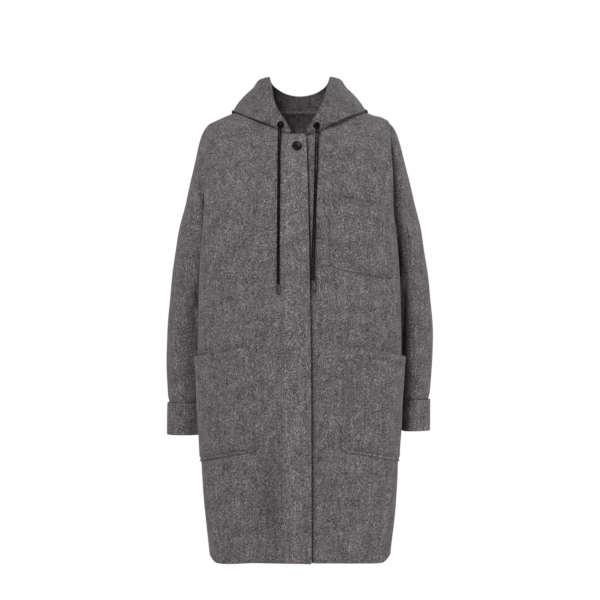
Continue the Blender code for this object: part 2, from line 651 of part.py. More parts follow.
def pocket(name, side, pattern, table, slant, material, group):
    """Patch pocket on a front: columns of the front's own grid between a bottom and a top edge."""
    across, up = pattern
    first = table[0].across
    last = table[-1].across
    margin = POCKET_MARGIN * (last - first) / len(table)
    level = up_at(np.mean([row.low for row in table]))
    at_middle = [np.interp(level, *line) for line in zip(up.T, across.T)]
    inside = [k for k in range(1, COLUMNS) if first + margin < at_middle[k] < last - margin]
    places = np.array([first] + [at_middle[k] for k in inside] + [last])
    low, high, stand = np.moveaxis(through(table, places), -1, 0)
    share = np.linspace(0.0, 1.0, POCKET_ROWS + 1)[:, None]
    z = low + (high - low) * share
    shoulder = SHOULDER_TOP - SHOULDER_FALL * (LEVELS[-1].fold_x * np.sin(places * math.pi / 2)) ** 2
    rows = up_at(z, shoulder)
    columns = np.empty(z.shape)
    columns[:, 0] = first + slant * (1 - share[:, 0])
    columns[:, -1] = last
    for place, k in enumerate(inside, start=1):
        columns[:, place] = np.interp(rows[:, place], up[:, k], across[:, k])
    lift = STEP_OUT + POCKET_GAP + stand * share**2
    if side < 0:
        lift = lift + overlap_lift(columns)
    return on_body(name, side, columns, rows, lift, material, group)


def hood_spot(grid, out, x, z):
    """Point and outward direction on the hood's front end nearest to a place in front view."""
    rows, columns = np.meshgrid(np.linspace(0, HOOD_STEPS, DENSE), np.linspace(0, EYELET_SECTIONS, DENSE))
    low_row = np.minimum(rows.astype(int), HOOD_STEPS - 1)
    low_column = np.minimum(columns.astype(int), EYELET_SECTIONS - 1)
    down = (rows - low_row)[..., None]
    along = (columns - low_column)[..., None]
    found = []
    for sheet in (grid, out):
        near = sheet[low_row, low_column] * (1 - down) + sheet[low_row + 1, low_column] * down
        far = sheet[low_row, low_column + 1] * (1 - down) + sheet[low_row + 1, low_column + 1] * down
        found.append((near * (1 - along) + far * along).reshape(-1, 3))
    best = np.argmin((found[0][:, 0] - x) ** 2 + (found[0][:, 2] - z) ** 2 + (found[1][:, 1] > 0))
    return found[0][best], unit(found[1][best])


def stand_on(item, point, out):
    """Puts an object at a point with its own up axis along a direction."""
    item.location = point
    item.rotation_mode = "QUATERNION"
    item.rotation_quaternion = Vector(out).to_track_quat("Z", "Y")
    return item


def ring_object(name, radius, wire, material, group):
    """Round ring of wire."""
    bpy.ops.mesh.primitive_torus_add(
        major_radius=radius, minor_radius=wire, major_segments=EYELET_STEPS, minor_segments=WIRE_STEPS
    )
    return claim(bpy.context.object, name, material, group)


def claim(item, name, material, group):
    """Names a new primitive, moves it into the group and shades it smooth."""
    item.name = name
    item.data.name = name
    for owner in list(item.users_collection):
        owner.objects.unlink(item)
    group.objects.link(item)
    item.data.materials.append(material)
    for polygon in item.data.polygons:
        polygon.use_smooth = True
    return item


def button_object(name, material, group, tools):
    """Turned button with a dished face and four holes."""
    mesh = bpy.data.meshes.new(name)
    profile = [(radius, 0.0, height) for radius, height in BUTTON_PROFILE]
    mesh.from_pydata(profile, [(k, k + 1) for k in range(len(profile) - 1)], [])
    item = add_object(name, mesh, material, group)
    turn = item.modifiers.new("turn", "SCREW")
    turn.axis = "Z"
    turn.steps = BUTTON_STEPS
    turn.render_steps = BUTTON_STEPS
    turn.use_merge_vertices = True
    turn.merge_threshold = 0.00001
    for number, (x, y) in enumerate(((1, 1), (1, -1), (-1, 1), (-1, -1))):
        place = (x * BUTTON_HOLE_SPREAD, y * BUTTON_HOLE_SPREAD, 0.0)
        bpy.ops.mesh.primitive_cylinder_add(
            vertices=HOLE_STEPS, radius=BUTTON_HOLE, depth=HOLE_DEPTH, location=place
        )
        hole = claim(bpy.context.object, f"button_hole_{number}", material, tools)
        hole.hide_render = True
        hole.display_type = "WIRE"
        hole.parent = item
        cut = item.modifiers.new(f"hole_{number}", "BOOLEAN")
        cut.operation = "DIFFERENCE"
        cut.solver = "EXACT"
        cut.object = hole
    return item


def cord_object(name, table, sign, material, group):
    """One strand of a drawstring: round tube along a smooth curve through the pair's rows."""
    marks = np.arange(len(table), dtype=float)
    rows = [(mark, row.x + sign * row.half, row.y, row.z) for mark, row in zip(marks, table)]
    dense = through(rows, np.linspace(0.0, marks[-1], 8 * DENSE))
    length = np.concatenate([[0.0], np.cumsum(np.linalg.norm(np.diff(dense, axis=0), axis=1))])
    count = int(length[-1] / (CORD_STEP * 2 * CORD_RADIUS)) + 1
    spread = np.linspace(0.0, length[-1], count)
    points = np.stack([np.interp(spread, length, dense[:, axis]) for axis in range(3)], axis=1)
    curve = bpy.data.curves.new(name, "CURVE")
    curve.dimensions = "3D"
    curve.bevel_depth = CORD_RADIUS
    curve.bevel_resolution = 2
    curve.use_fill_caps = True
    curve.materials.append(material)
    spline = curve.splines.new("POLY")
    spline.points.add(count - 1)
    for spot, point in zip(spline.points, points):
        spot.co = (*point, 1.0)
    item = bpy.data.objects.new(name, curve)
    group.objects.link(item)
    return item


def tip_object(name, table, material, group):
    """Metal end that holds both strands of a drawstring."""
    end = table[-1]
    place = (end.x, end.y, end.z - TIP_GAP - TIP_LENGTH / 2)
    bpy.ops.mesh.primitive_cylinder_add(
        vertices=TIP_STEPS, radius=TIP_RADIUS, depth=TIP_LENGTH, location=place
    )
    item = claim(bpy.context.object, name, material, group)
    rounding = item.modifiers.new("rounding", "BEVEL")
    rounding.width = TIP_ROUND
    rounding.segments = 2
    rounding.limit_method = "ANGLE"
    return item


def surface(name, colour, rough, metal=0.0):
    """Plain material of one colour."""
    material = bpy.data.materials.new(name)
    material.use_nodes = True
    shader = material.node_tree.nodes["Principled BSDF"]
    shader.inputs["Base Color"].default_value = (*colour, 1.0)
    shader.inputs["Roughness"].default_value = rough
    shader.inputs["Metallic"].default_value = metal
    return material


for leftover in list(bpy.data.objects):
    bpy.data.objects.remove(leftover)
parka = bpy.data.collections.new("Parka")
bpy.context.scene.collection.children.link(parka)
cutters = bpy.data.collections.new("Cutters")
bpy.context.scene.collection.children.link(cutters)
wool = surface("grey_wool", (0.13, 0.12, 0.122), 0.95)
leather = surface("black_leather", (0.012, 0.012, 0.013), 0.55)
horn = surface("black_horn", (0.010, 0.010, 0.011), 0.25)
gunmetal = surface("gunmetal", (0.16, 0.16, 0.165), 0.30, 1.0)

# Fronts, placket and back.
left_across, left_up = panel(1, 0, LEFT_EDGE_X)
on_body("front_left", 1, left_across, left_up, np.zeros(left_up.shape), wool, parka, notch())
right_across, right_up = panel(-1, 0, RIGHT_EDGE_X)
on_body("front_right", -1, right_across, right_up, overlap_lift(right_across), wool, parka, notch())

placket_up = right_up[:, :1] / right_up[-1, 0]
placket_edge = PLACKET_HEM_X + (PLACKET_TOP_X - PLACKET_HEM_X) * placket_up**PLACKET_BEND
placket_share = np.linspace(0.0, 1.0, PLACKET_COLUMNS + 1)[None, :]
placket_x = RIGHT_EDGE_X - (placket_edge + RIGHT_EDGE_X) * placket_share
placket_rows = placket_up * np.ones(placket_x.shape)
placket_across = across_at(placket_x, placket_rows * NECK_FRONT_UP)
placket_rows = placket_rows * neck_up(placket_across, NECK_FRONT_UP)
on_body("placket", -1, placket_across, placket_rows, np.full(placket_x.shape, STEP_OUT), wool, parka)

half_across, half_up = panel(1, 4, 0.0)
halves = []
for side in (-1, 1):
    halves.append((body(side, half_across, half_up), body_normal(side, half_across, half_up)))
back_points, back_out = (np.concatenate([right[:, :0:-1], left], axis=1) for right, left in zip(*halves))
back_keep = np.concatenate([notch()[:, ::-1], notch()], axis=1)
cloth_wall("back", back_points, back_out, wool, parka, keep=back_keep)

# Sleeves and cuffs.
sleeve, armhole_out = sleeve_rings()
sleeve_out = ring_out(sleeve)
sleeve_out[0] = armhole_out
cuff = np.array([section_ring(section) for section in CUFF])
for side, name in ((-1, "right"), (1, "left")):
    tube(f"sleeve_{name}", side, sleeve, sleeve_out, SLEEVE_DROP[side], wool, parka)
    tube(f"cuff_{name}", side, cuff, ring_out(cuff), SLEEVE_DROP[side], wool, parka)

# Patch pockets.
pocket("pocket_left", 1, (left_across, left_up), HIP_POCKET, POCKET_SLANT, wool, parka)
pocket("pocket_right", -1, (right_across, right_up), HIP_POCKET, POCKET_SLANT, wool, parka)
pocket("chest_pocket", 1, (left_across, left_up), CHEST_POCKET, 0.0, wool, parka)

# Button on the placket.
button_up = up_at(BUTTON_Z)
button_across = across_at(-BUTTON_X, button_up)
button_out = body_normal(-1, button_across, button_up)
button_point = body(-1, button_across, button_up, STEP_OUT + CLOTH / 2 + LAY)
stand_on(button_object("button", horn, parka, cutters), button_point, button_out)

# Hood, eyelets and drawstring.
for side, name, cord in ((-1, "right", RIGHT_CORD), (1, "left", LEFT_CORD)):
    grid = hood_grid(side)
    out = grid_out(grid, side)
    cloth_wall(f"hood_{name}", grid, out, wool, parka)
    point, facing = hood_spot(grid, out, *EYELET_SPOTS[side])
    eyelet = ring_object(f"eyelet_{name}", EYELET_RADIUS, EYELET_WIRE, gunmetal, parka)
    stand_on(eyelet, point + facing * (CLOTH / 2 + EYELET_WIRE + LAY), facing)
    cord_object(f"cord_{name}_inner", cord, -side, leather, parka)
    cord_object(f"cord_{name}_outer", cord, side, leather, parka)
    tip_object(f"tip_{name}", cord, gunmetal, parka)
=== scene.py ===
# %% [markdown]
# A long hooded wool coat, shown in the shape it has when it is worn. The solids already hold
# the cut. This lesson lays soft cloth over each of them: finer surfaces with creases, thick
# rounded edges, sewing, and a felted wool finish. Everything is in metres with +Z up, and the
# front of the coat faces -Y.

# %% Setup
import math
from collections import namedtuple

import bpy
import numpy as np
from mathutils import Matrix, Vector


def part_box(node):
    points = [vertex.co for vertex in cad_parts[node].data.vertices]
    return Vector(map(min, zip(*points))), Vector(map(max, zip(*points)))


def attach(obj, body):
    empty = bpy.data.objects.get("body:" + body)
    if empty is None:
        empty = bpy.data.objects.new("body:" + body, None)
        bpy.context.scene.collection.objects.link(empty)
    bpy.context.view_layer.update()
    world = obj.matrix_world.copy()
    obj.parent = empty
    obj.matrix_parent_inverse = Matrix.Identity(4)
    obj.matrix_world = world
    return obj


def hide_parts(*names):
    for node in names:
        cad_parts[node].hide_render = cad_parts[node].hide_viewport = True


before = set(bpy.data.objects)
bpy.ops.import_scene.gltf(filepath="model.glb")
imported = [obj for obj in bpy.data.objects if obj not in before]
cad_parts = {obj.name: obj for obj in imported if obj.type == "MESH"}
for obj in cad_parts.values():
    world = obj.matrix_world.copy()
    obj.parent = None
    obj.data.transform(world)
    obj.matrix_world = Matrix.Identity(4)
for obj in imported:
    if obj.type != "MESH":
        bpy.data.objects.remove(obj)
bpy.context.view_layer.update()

# %% [markdown]
# The camera comes first, because every other choice is judged through it. It stands level, at
# the height of the coat's waist, far away with a long lens, as for a shop picture. That keeps
# the hem and the shoulders almost free of perspective.

# %% Camera
CAMERA_PLACE = (0.0006, -4.2, -0.388)
CAMERA_LENS = 120.0
CAMERA_SENSOR = 36.0
camera_data = bpy.data.cameras.new("camera")
camera_data.lens = CAMERA_LENS
camera_data.sensor_width = CAMERA_SENSOR
camera = bpy.data.objects.new("camera", camera_data)
camera.location = CAMERA_PLACE
camera.rotation_euler = (math.pi / 2, 0.0, 0.0)
bpy.context.scene.collection.objects.link(camera)
bpy.context.scene.camera = camera
print("camera at", CAMERA_PLACE, "with a lens of", CAMERA_LENS, "mm")

# %% [markdown]
# A white studio looks white, but much of its light comes from a few big lamps. The world is
# white where it is seen directly and dimmer as a light. One large lamp in front and to one side
# gives the cloth its form, a weaker one lifts the other side, and a third behind shows the back.

# %% Studio
Lamp = namedtuple("Lamp", "name x y z size power")
LAMPS = (
    Lamp("key", -1.0, -3.0, 1.6, 1.0, 102.0),
    Lamp("fill", 3.2, -0.5, -0.4, 1.8, 48.0),
    Lamp("rear", 1.7, 3.0, 0.4, 1.6, 28.0),
)
LAMP_AIM = np.array([0.0, 0.0, -0.4])
AMBIENT = 0.42
WHITE = (1.0, 1.0, 1.0, 1.0)
bpy.context.scene.view_settings.view_transform = "Standard"
studio = bpy.data.worlds.new("studio")
studio.use_nodes = True
sky = studio.node_tree
lit = sky.nodes["Background"]
lit.inputs["Color"].default_value = WHITE
lit.inputs["Strength"].default_value = AMBIENT
seen = sky.nodes.new("ShaderNodeBackground")
seen.inputs["Color"].default_value = WHITE
ray = sky.nodes.new("ShaderNodeLightPath")
either = sky.nodes.new("ShaderNodeMixShader")
sky.links.new(ray.outputs["Is Camera Ray"], either.inputs[0])
sky.links.new(lit.outputs[0], either.inputs[1])
sky.links.new(seen.outputs[0], either.inputs[2])
sky.links.new(either.outputs[0], sky.nodes["World Output"].inputs["Surface"])
bpy.context.scene.world = studio
for lamp in LAMPS:
    light = bpy.data.lights.new(lamp.name, "AREA")
    light.size = lamp.size
    light.energy = lamp.power
    holder = bpy.data.objects.new(lamp.name, light)
    aim = LAMP_AIM - np.array([lamp.x, lamp.y, lamp.z])
    flat = math.hypot(aim[0], aim[1])
    holder.location = (lamp.x, lamp.y, lamp.z)
    holder.rotation_euler = (math.atan2(flat, -aim[2]), 0.0, math.atan2(-aim[0], aim[1]))
    bpy.context.scene.collection.objects.link(holder)
print("lamps:", [lamp.name for lamp in LAMPS])

# %% [markdown]
# Materials are small graphs of nodes. The first helper adds one node, sets its plain values and
# joins its inputs to other nodes' outputs, so that each graph below reads as a list. The others
# make what every finish here needs: a shader, a noise, a colour ramp and a bump.


# %% Node helpers
def add_node(tree, kind, values=None, joins=None, **settings):
    """Adds a node of a kind, with values for its sockets, links into them, and settings."""
    made = tree.nodes.new(kind)
    for key, value in settings.items():
        setattr(made, key, value)
    for key, value in (values or {}).items():
        made.inputs[key].default_value = value
    for key, output in (joins or {}).items():
        tree.links.new(output, made.inputs[key])
    return made


def new_material(name, roughness, metallic=0.0, specular=0.5):
    """Principled material with its constant values on the shader's own sockets."""
    material = bpy.data.materials.new(name)
    material.use_nodes = True
    shader = material.node_tree.nodes["Principled BSDF"]
    shader.inputs["Roughness"].default_value = roughness
    shader.inputs["Metallic"].default_value = metallic
    shader.inputs["Specular IOR Level"].default_value = specular
    return material, material.node_tree, shader


def noise_of(tree, where, size, stretch, detail):
    """Noise of a size, on coordinates that are stretched first."""
    turned = add_node(tree, "ShaderNodeMapping", {"Scale": stretch}, {"Vector": where})
    sockets = {"Scale": size, "Detail": detail}
    return add_node(tree, "ShaderNodeTexNoise", sockets, {"Vector": turned.outputs[0]}).outputs[0]


def ramp_of(tree, value, stops):
    """Colour read from a ramp through stops, each a place and a colour."""
    ramp = add_node(tree, "ShaderNodeValToRGB", None, {"Fac": value})
    steps = ramp.color_ramp.elements
    while len(steps) < len(stops):
        steps.new(0.5)
    for step, (place, colour) in zip(steps, stops):
        step.position = place
        step.color = (*colour, 1.0)
    return ramp.outputs["Color"]


def bump_of(tree, height, strength, distance):
    """Normal of a surface that is raised by a height."""
    sockets = {"Strength": strength, "Distance": distance}
    return add_node(tree, "ShaderNodeBump", sockets, {"Height": height}).outputs["Normal"]


# %% [markdown]
# The cloth is felted wool of mixed grey yarns. Close up it is a salt-and-pepper of dark and pale
# flecks, a few millimetres long and stretched along the warp, with faint upright streaks and slow
# clouds of tone. An image of cloth would blur close up and show where it repeats, so each of these
# is a noise of its own size on Object coordinates, and their sum runs through a colour ramp. The
# flecks, with finer fibres, also make the bump. A little sheen stands for the nap that catches light
# at grazing angles.

# %% Wool
Grain = namedtuple("Grain", "name size stretch detail share")
GRAINS = (
    Grain("fleck", 440.0, (1.0, 1.0, 0.80), 2.0, 0.64),
    Grain("streak", 165.0, (1.0, 1.0, 0.14), 1.0, 0.12),
    Grain("cloud", 48.0, (0.8, 0.8, 1.1), 3.0, 0.13),
    Grain("fibre", 1500.0, (1.0, 1.0, 0.60), 1.0, 0.11),
)
Stop = namedtuple("Stop", "place red green blue")
WOOL_STOPS = (
    Stop(0.32, 0.015, 0.0128, 0.0133),
    Stop(0.44, 0.068, 0.0600, 0.0624),
    Stop(0.54, 0.129, 0.1150, 0.1192),
    Stop(0.68, 0.300, 0.2720, 0.2800),
)
WOOL_ROUGH = 0.95
WOOL_SHINE = 0.18
SHEEN = 0.10
SHEEN_ROUGH = 0.55
FIBRE_BUMP = 0.45
WOOL_BUMP = 0.55
WOOL_DEPTH = 0.0012
ShadeOval = namedtuple("ShadeOval", "x z wide high shade")


def painted_shade_of(tree, where, colour, painted_shade):
    """Painted shade: colour times 1 - shade in the middle of an upright oval, with a soft step to 1 at its
    rim.
    """
    sockets = {
        "Location": (-painted_shade.x / painted_shade.wide, 0.0, -painted_shade.z / painted_shade.high),
        "Scale": (1 / painted_shade.wide, 0.0, 1 / painted_shade.high),
    }
    oval = add_node(tree, "ShaderNodeMapping", sockets, {"Vector": where})
    far = add_node(tree, "ShaderNodeVectorMath", None, {0: oval.outputs[0]}, operation="LENGTH")
    least, away = {"To Min": 1 - painted_shade.shade}, {"Value": far.outputs["Value"]}
    shade = add_node(tree, "ShaderNodeMapRange", least, away, interpolation_type="SMOOTHSTEP")
    joins = {0: colour, "Scale": shade.outputs[0]}
    return add_node(tree, "ShaderNodeVectorMath", None, joins, operation="SCALE").outputs[0]


def wool_material(name, tone, painted_shade=None):
    """Grey mixed wool. Colour = ramp(sum of the grains, each times its share) * tone, where a tone other
    than 1 paints light or shade into the same wool, and darkened by a painted shade oval where one is
    given. The bump is fleck + FIBRE_BUMP * fibre."""
    material, tree, shader = new_material(name, WOOL_ROUGH, specular=WOOL_SHINE)
    shader.inputs["Sheen Weight"].default_value = SHEEN
    shader.inputs["Sheen Roughness"].default_value = SHEEN_ROUGH
    where = add_node(tree, "ShaderNodeTexCoord").outputs["Object"]
    noises = {}
    joins = {}
    for grain in GRAINS:
        noises[grain.name] = noise_of(tree, where, grain.size, grain.stretch, grain.detail)
        joins[0] = noises[grain.name]
        values = {1: grain.share, 2: 0.0}
        joins[2] = add_node(tree, "ShaderNodeMath", values, joins, operation="MULTIPLY_ADD").outputs[0]
    stops = [(stop.place, [tone * part for part in stop[1:]]) for stop in WOOL_STOPS]
    colour = ramp_of(tree, joins[2], stops)
    # Painted shade: a soft dark oval multiplied into the wool's colour.
    if painted_shade is not None:
        colour = painted_shade_of(tree, where, colour, painted_shade)
    joins = {0: noises["fibre"], 2: noises["fleck"]}
    height = add_node(tree, "ShaderNodeMath", {1: FIBRE_BUMP}, joins, operation="MULTIPLY_ADD").outputs[0]
    tree.links.new(colour, shader.inputs["Base Color"])
    tree.links.new(bump_of(tree, height, WOOL_BUMP, WOOL_DEPTH), shader.inputs["Normal"])
    return material


print("wool grains:", [grain.name for grain in GRAINS])

# %% [markdown]
# One cloth can still read as several greys. The placket looks paler than the fronts, the hood darker, and
# low on the right front, left of the placket, there is a soft dark band. The lamps here don't give that,
# so light and shade are painted into the colour: the placket's wool is a painted lighter copy, the hood's
# is painted darker to take off the light that falls on its upturned faces, and the band is painted shade,
# an oval darkened in the right front's wool.

# %% Wool tones
# Painted light: the placket's wool is made 12 percent lighter than the same wool on the fronts.
PLACKET_LIGHT_TONE = 1.12
# Painted shade: the hood's wool is darkened to take off the light that falls on its upturned faces.
HOOD_SHADE_TONE = 0.88
# Painted shade: a dark oval low on the right front, left of the placket, over its trough.
FRONT_PAINTED_SHADE = ShadeOval(-0.064, -0.795, 0.048, 0.165, 0.24)
WOOL = wool_material("grey_wool", 1.0)
FRONT_SHADED_WOOL = wool_material("grey_wool_front_painted_shade", 1.0, FRONT_PAINTED_SHADE)
PLACKET_LIT_WOOL = wool_material("grey_wool_placket_painted_light", PLACKET_LIGHT_TONE)
HOOD_SHADED_WOOL = wool_material("grey_wool_hood", HOOD_SHADE_TONE)
print("wools:", [wool.name for wool in (WOOL, FRONT_SHADED_WOOL, PLACKET_LIT_WOOL, HOOD_SHADED_WOOL)])

# %% [markdown]
# The trims are few: black leather cord, a black horn-like button, gunmetal cord ends, blackened
# eyelets and grey thread. A plain colour would look like plastic, so each has its own grain: pores
# on the leather, clouding in the horn, and brushed scratches on the metal. One function makes them
# all from a row of a table.

# %% Trim finishes
Finish = namedtuple("Finish", "name dark pale size upright roughness metallic depth shine")
FINISHES = (
    Finish("black_leather", (0.001,) * 3, (0.004,) * 3, 900.0, 0.4, 0.62, 0.0, 0.0003, 0.08),
    Finish("black_horn", (0.001,) * 3, (0.004, 0.004, 0.003), 260.0, 0.5, 0.28, 0.0, 0.0001, 0.20),
    Finish("gunmetal", (0.05, 0.05, 0.052), (0.12, 0.12, 0.124), 700.0, 0.15, 0.30, 1.0, 0.0001, 0.5),
    Finish("black_metal", (0.01, 0.01, 0.011), (0.04, 0.04, 0.042), 700.0, 0.15, 0.34, 1.0, 0.0001, 0.5),
    Finish("grey_thread", (0.03, 0.028, 0.028), (0.085, 0.08, 0.08), 2500.0, 1.0, 0.80, 0.0, 0.0002, 0.5),
)
GRAIN_DETAIL = 4.0
GRAIN_DARK = 0.35
GRAIN_PALE = 0.68
GRAIN_BUMP = 0.4
SMOOTHER = 0.10
ROUGHER = 0.12


def grained_material(finish):
    """Colour = mix(dark, pale, noise), with the same noise as bump and, spread out, as roughness."""
    rough = finish.roughness
    material, tree, shader = new_material(finish.name, rough, finish.metallic, finish.shine)
    where = add_node(tree, "ShaderNodeTexCoord").outputs["Object"]
    noise = noise_of(tree, where, finish.size, (1.0, 1.0, finish.upright), GRAIN_DETAIL)
    colour = ramp_of(tree, noise, ((GRAIN_DARK, finish.dark), (GRAIN_PALE, finish.pale)))
    limits = {"To Min": rough - SMOOTHER, "To Max": rough + ROUGHER}
    spread = add_node(tree, "ShaderNodeMapRange", limits, {"Value": noise})
    tree.links.new(colour, shader.inputs["Base Color"])
    tree.links.new(spread.outputs[0], shader.inputs["Roughness"])
    tree.links.new(bump_of(tree, noise, GRAIN_BUMP, finish.depth), shader.inputs["Normal"])
    return material


LEATHER, HORN, GUNMETAL, BLACK_METAL, THREAD = (grained_material(finish) for finish in FINISHES)
print("trim finishes:", [finish.name for finish in FINISHES])

# %% [markdown]
# Every piece ends the same way: its points and faces go into a mesh at the origin, it rides on
# the coat's one body, and it stands for its solid. Arrays go in whole, which is quick and leaves
# no edit mode to clean up after.


# %% Pieces
def without_doubles(faces):
    """Faces as lists, with a square's repeated corner left out so that it is a triangle."""
    same = faces[:, 0] == faces[:, 3]
    return faces[~same].tolist() + faces[same][:, :3].tolist()


def put_piece(name, points, faces, material, node=None, slot=None):
    """Mesh object from arrays of points and faces, shaded smooth, riding on the coat."""
    mesh = bpy.data.meshes.new(name)
    mesh.from_pydata(points.tolist(), [], without_doubles(faces))
    mesh.polygons.foreach_set("use_smooth", np.ones(len(mesh.polygons), dtype=bool))
    mesh.materials.append(material)
    mesh.update()
    piece = bpy.data.objects.new(name, mesh)
    bpy.context.scene.collection.objects.link(piece)
    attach(piece, "root")
    if node:
        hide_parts(node)
    return piece


# %% [markdown]
# Cloth has no hard corners, so a few soft curves do most of the shaping below: a step, a plateau
# between two soft steps, a bell, and a smooth curve through the rows of a table. Lines of points
# are measured along their length, so that they can be spread evenly again.


# %% Soft curves
def smooth(t):
    """Soft step: 0 below 0, 1 above 1, and 3t^2 - 2t^3 between."""
    t = np.clip(t, 0.0, 1.0)
    return t * t * (3.0 - 2.0 * t)


def between(value, low, high, fade):
    """1 between low and high, with a soft step down to 0 just inside both."""
    return smooth((value - low) / fade) * smooth((high - value) / fade)


def bell(distance, width):
    """Bell curve: exp(-(distance / width)^2)."""
    return np.exp(-((distance / width) ** 2))


def unit(vectors):
    """Each vector divided by its length."""
    return vectors / np.maximum(np.linalg.norm(vectors, axis=-1, keepdims=True), 1e-12)


def through(rows, at):
    """Cubic curve through the rows of a table, read at values of its first column.
    Between two rows it is the Hermite blend of their values and of the table's slopes there."""
    table = np.array(rows, dtype=float)
    table = table[np.argsort(table[:, 0])]
    knots = table[:, 0]
    values = table[:, 1:]
    slopes = np.gradient(values, knots, axis=0)
    at = np.clip(np.asarray(at, dtype=float), knots[0], knots[-1])
    low = np.clip(np.searchsorted(knots, at) - 1, 0, len(knots) - 2)
    span = (knots[low + 1] - knots[low])[..., None]
    t = (at - knots[low])[..., None] / span
    rise = values[low] * (1 + 2 * t) * (1 - t) ** 2 + values[low + 1] * t * t * (3 - 2 * t)
    bend = slopes[low] * t * (1 - t) ** 2 - slopes[low + 1] * t * t * (1 - t)
    return rise + bend * span


def lengths(points):
    """Distance along a line of points, from its first point."""
    steps = np.linalg.norm(np.diff(points, axis=0), axis=1)
    return np.concatenate([[0.0], np.cumsum(steps)])


def read_at(marks, knots, points):
    """Points of a line at given marks, where knots are the marks of its own points."""
    return np.stack([np.interp(marks, knots, column) for column in points.T], axis=1)


def spread_along(points, marks):
    """Points of a line at given distances along it."""
    return read_at(marks, lengths(points), points)


# %% [markdown]
# The coat hangs above a pale floor, which catches a little light from below. It is stage, and not
# part of the coat.

# %% Floor
FLOOR_Z = -1.40
FLOOR_HALF = 2.2
FLOOR_TONE = 0.80
FLOOR_ROUGH = 0.9
FLOOR_CORNERS = ((-1, -1), (1, -1), (1, 1), (-1, 1))
floor_points = [(x * FLOOR_HALF, y * FLOOR_HALF, FLOOR_Z) for x, y in FLOOR_CORNERS]
floor_mesh = bpy.data.meshes.new("floor")
floor_mesh.from_pydata(floor_points, [], [(0, 1, 2, 3)])
floor_paint, floor_shader = new_material("pale_floor", FLOOR_ROUGH)[::2]
floor_shader.inputs["Base Color"].default_value = (FLOOR_TONE, FLOOR_TONE, FLOOR_TONE, 1.0)
floor_mesh.materials.append(floor_paint)
floor = bpy.data.objects.new("floor", floor_mesh)
bpy.context.scene.collection.objects.link(floor)
print("floor at", FLOOR_Z)

# %% [markdown]
# The drawstring is one leather cord per side, doubled: two strands hang from each eyelet and end
# together in a metal tip. A simulated drop would change their length, so the route was chosen point
# by point when the solids were made, and the same rows stand here. Each row is a point midway between
# the two strands, and half their distance.

# %% Drawstring route
CORD_RADIUS = 0.0014
CORD_SIDES = 12
CORD_STEP = 0.0025
ROUTE_POINTS = 1200
CordRow = namedtuple("CordRow", "x y z half")
RIGHT_CORD = (
    CordRow(-0.0393, -0.1111, -0.0297, 0.00160),
    CordRow(-0.0397, -0.1140, -0.0300, 0.00160),
    CordRow(-0.0402, -0.1170, -0.0318, 0.00160),
    CordRow(-0.0406, -0.1187, -0.0350, 0.00165),
    CordRow(-0.0410, -0.1191, -0.0392, 0.00170),
    CordRow(-0.0414, -0.1188, -0.0445, 0.00175),
    CordRow(-0.0417, -0.1190, -0.0530, 0.00180),
    CordRow(-0.0420, -0.1205, -0.0650, 0.00185),
    CordRow(-0.0422, -0.1245, -0.0790, 0.00185),
    CordRow(-0.0424, -0.1300, -0.0990, 0.00180),
    CordRow(-0.0426, -0.1358, -0.1250, 0.00175),
    CordRow(-0.0428, -0.1400, -0.1520, 0.00170),
    CordRow(-0.0430, -0.1424, -0.1820, 0.00165),
    CordRow(-0.0432, -0.1438, -0.2150, 0.00165),
    CordRow(-0.0434, -0.1448, -0.2500, 0.00160),
    CordRow(-0.0436, -0.1460, -0.2900, 0.00160),
    CordRow(-0.0438, -0.1472, -0.3300, 0.00160),
    CordRow(-0.0439, -0.1478, -0.3560, 0.00160),
)
LEFT_CORD = (
    CordRow(0.0349, -0.1117, -0.0315, 0.00160),
    CordRow(0.0352, -0.1142, -0.0319, 0.00160),
    CordRow(0.0356, -0.1172, -0.0338, 0.00165),
    CordRow(0.0358, -0.1188, -0.0372, 0.00175),
    CordRow(0.0357, -0.1191, -0.0415, 0.00185),
    CordRow(0.0355, -0.1187, -0.0470, 0.00200),
    CordRow(0.0352, -0.1189, -0.0550, 0.00215),
    CordRow(0.0348, -0.1203, -0.0670, 0.00230),
    CordRow(0.0344, -0.1237, -0.0810, 0.00240),
    CordRow(0.0338, -0.1285, -0.1010, 0.00235),
    CordRow(0.0330, -0.1338, -0.1260, 0.00205),
    CordRow(0.0322, -0.1375, -0.1520, 0.00175),
    CordRow(0.0314, -0.1404, -0.1800, 0.00160),
    CordRow(0.0304, -0.1426, -0.2080, 0.00170),
    CordRow(0.0293, -0.1449, -0.2400, 0.00195),
    CordRow(0.0281, -0.1468, -0.2750, 0.00215),
    CordRow(0.0272, -0.1480, -0.3100, 0.00215),
    CordRow(0.0268, -0.1487, -0.3350, 0.00185),
    CordRow(0.0267, -0.1489, -0.3485, 0.00165),
)
CORDS = {"right": RIGHT_CORD, "left": LEFT_CORD}
SIDES = {"right": -1, "left": 1}
print("cord rows:", {name: len(rows) for name, rows in CORDS.items()})

# %% [markdown]
# A cord is a tube: a circle carried along its route, where two directions square to the route turn
# the circle at each point. A curve with a bevel would look alike, but the same rings also make the
# button, the eyelets and the tips, with a fan of triangles to close both ends.


# %% Tubes
def grid_faces(rows, columns, ring=False):
    """Squares between neighbouring points of a grid, closed round its columns when it is a ring."""
    count = columns if ring else columns - 1
    row, column = np.meshgrid(np.arange(rows - 1), np.arange(count), indexing="ij")
    after = (column + 1) % columns
    corners = (row, column), (row, after), (row + 1, after), (row + 1, column)
    return np.stack([(r * columns + c).ravel() for r, c in corners], axis=1)


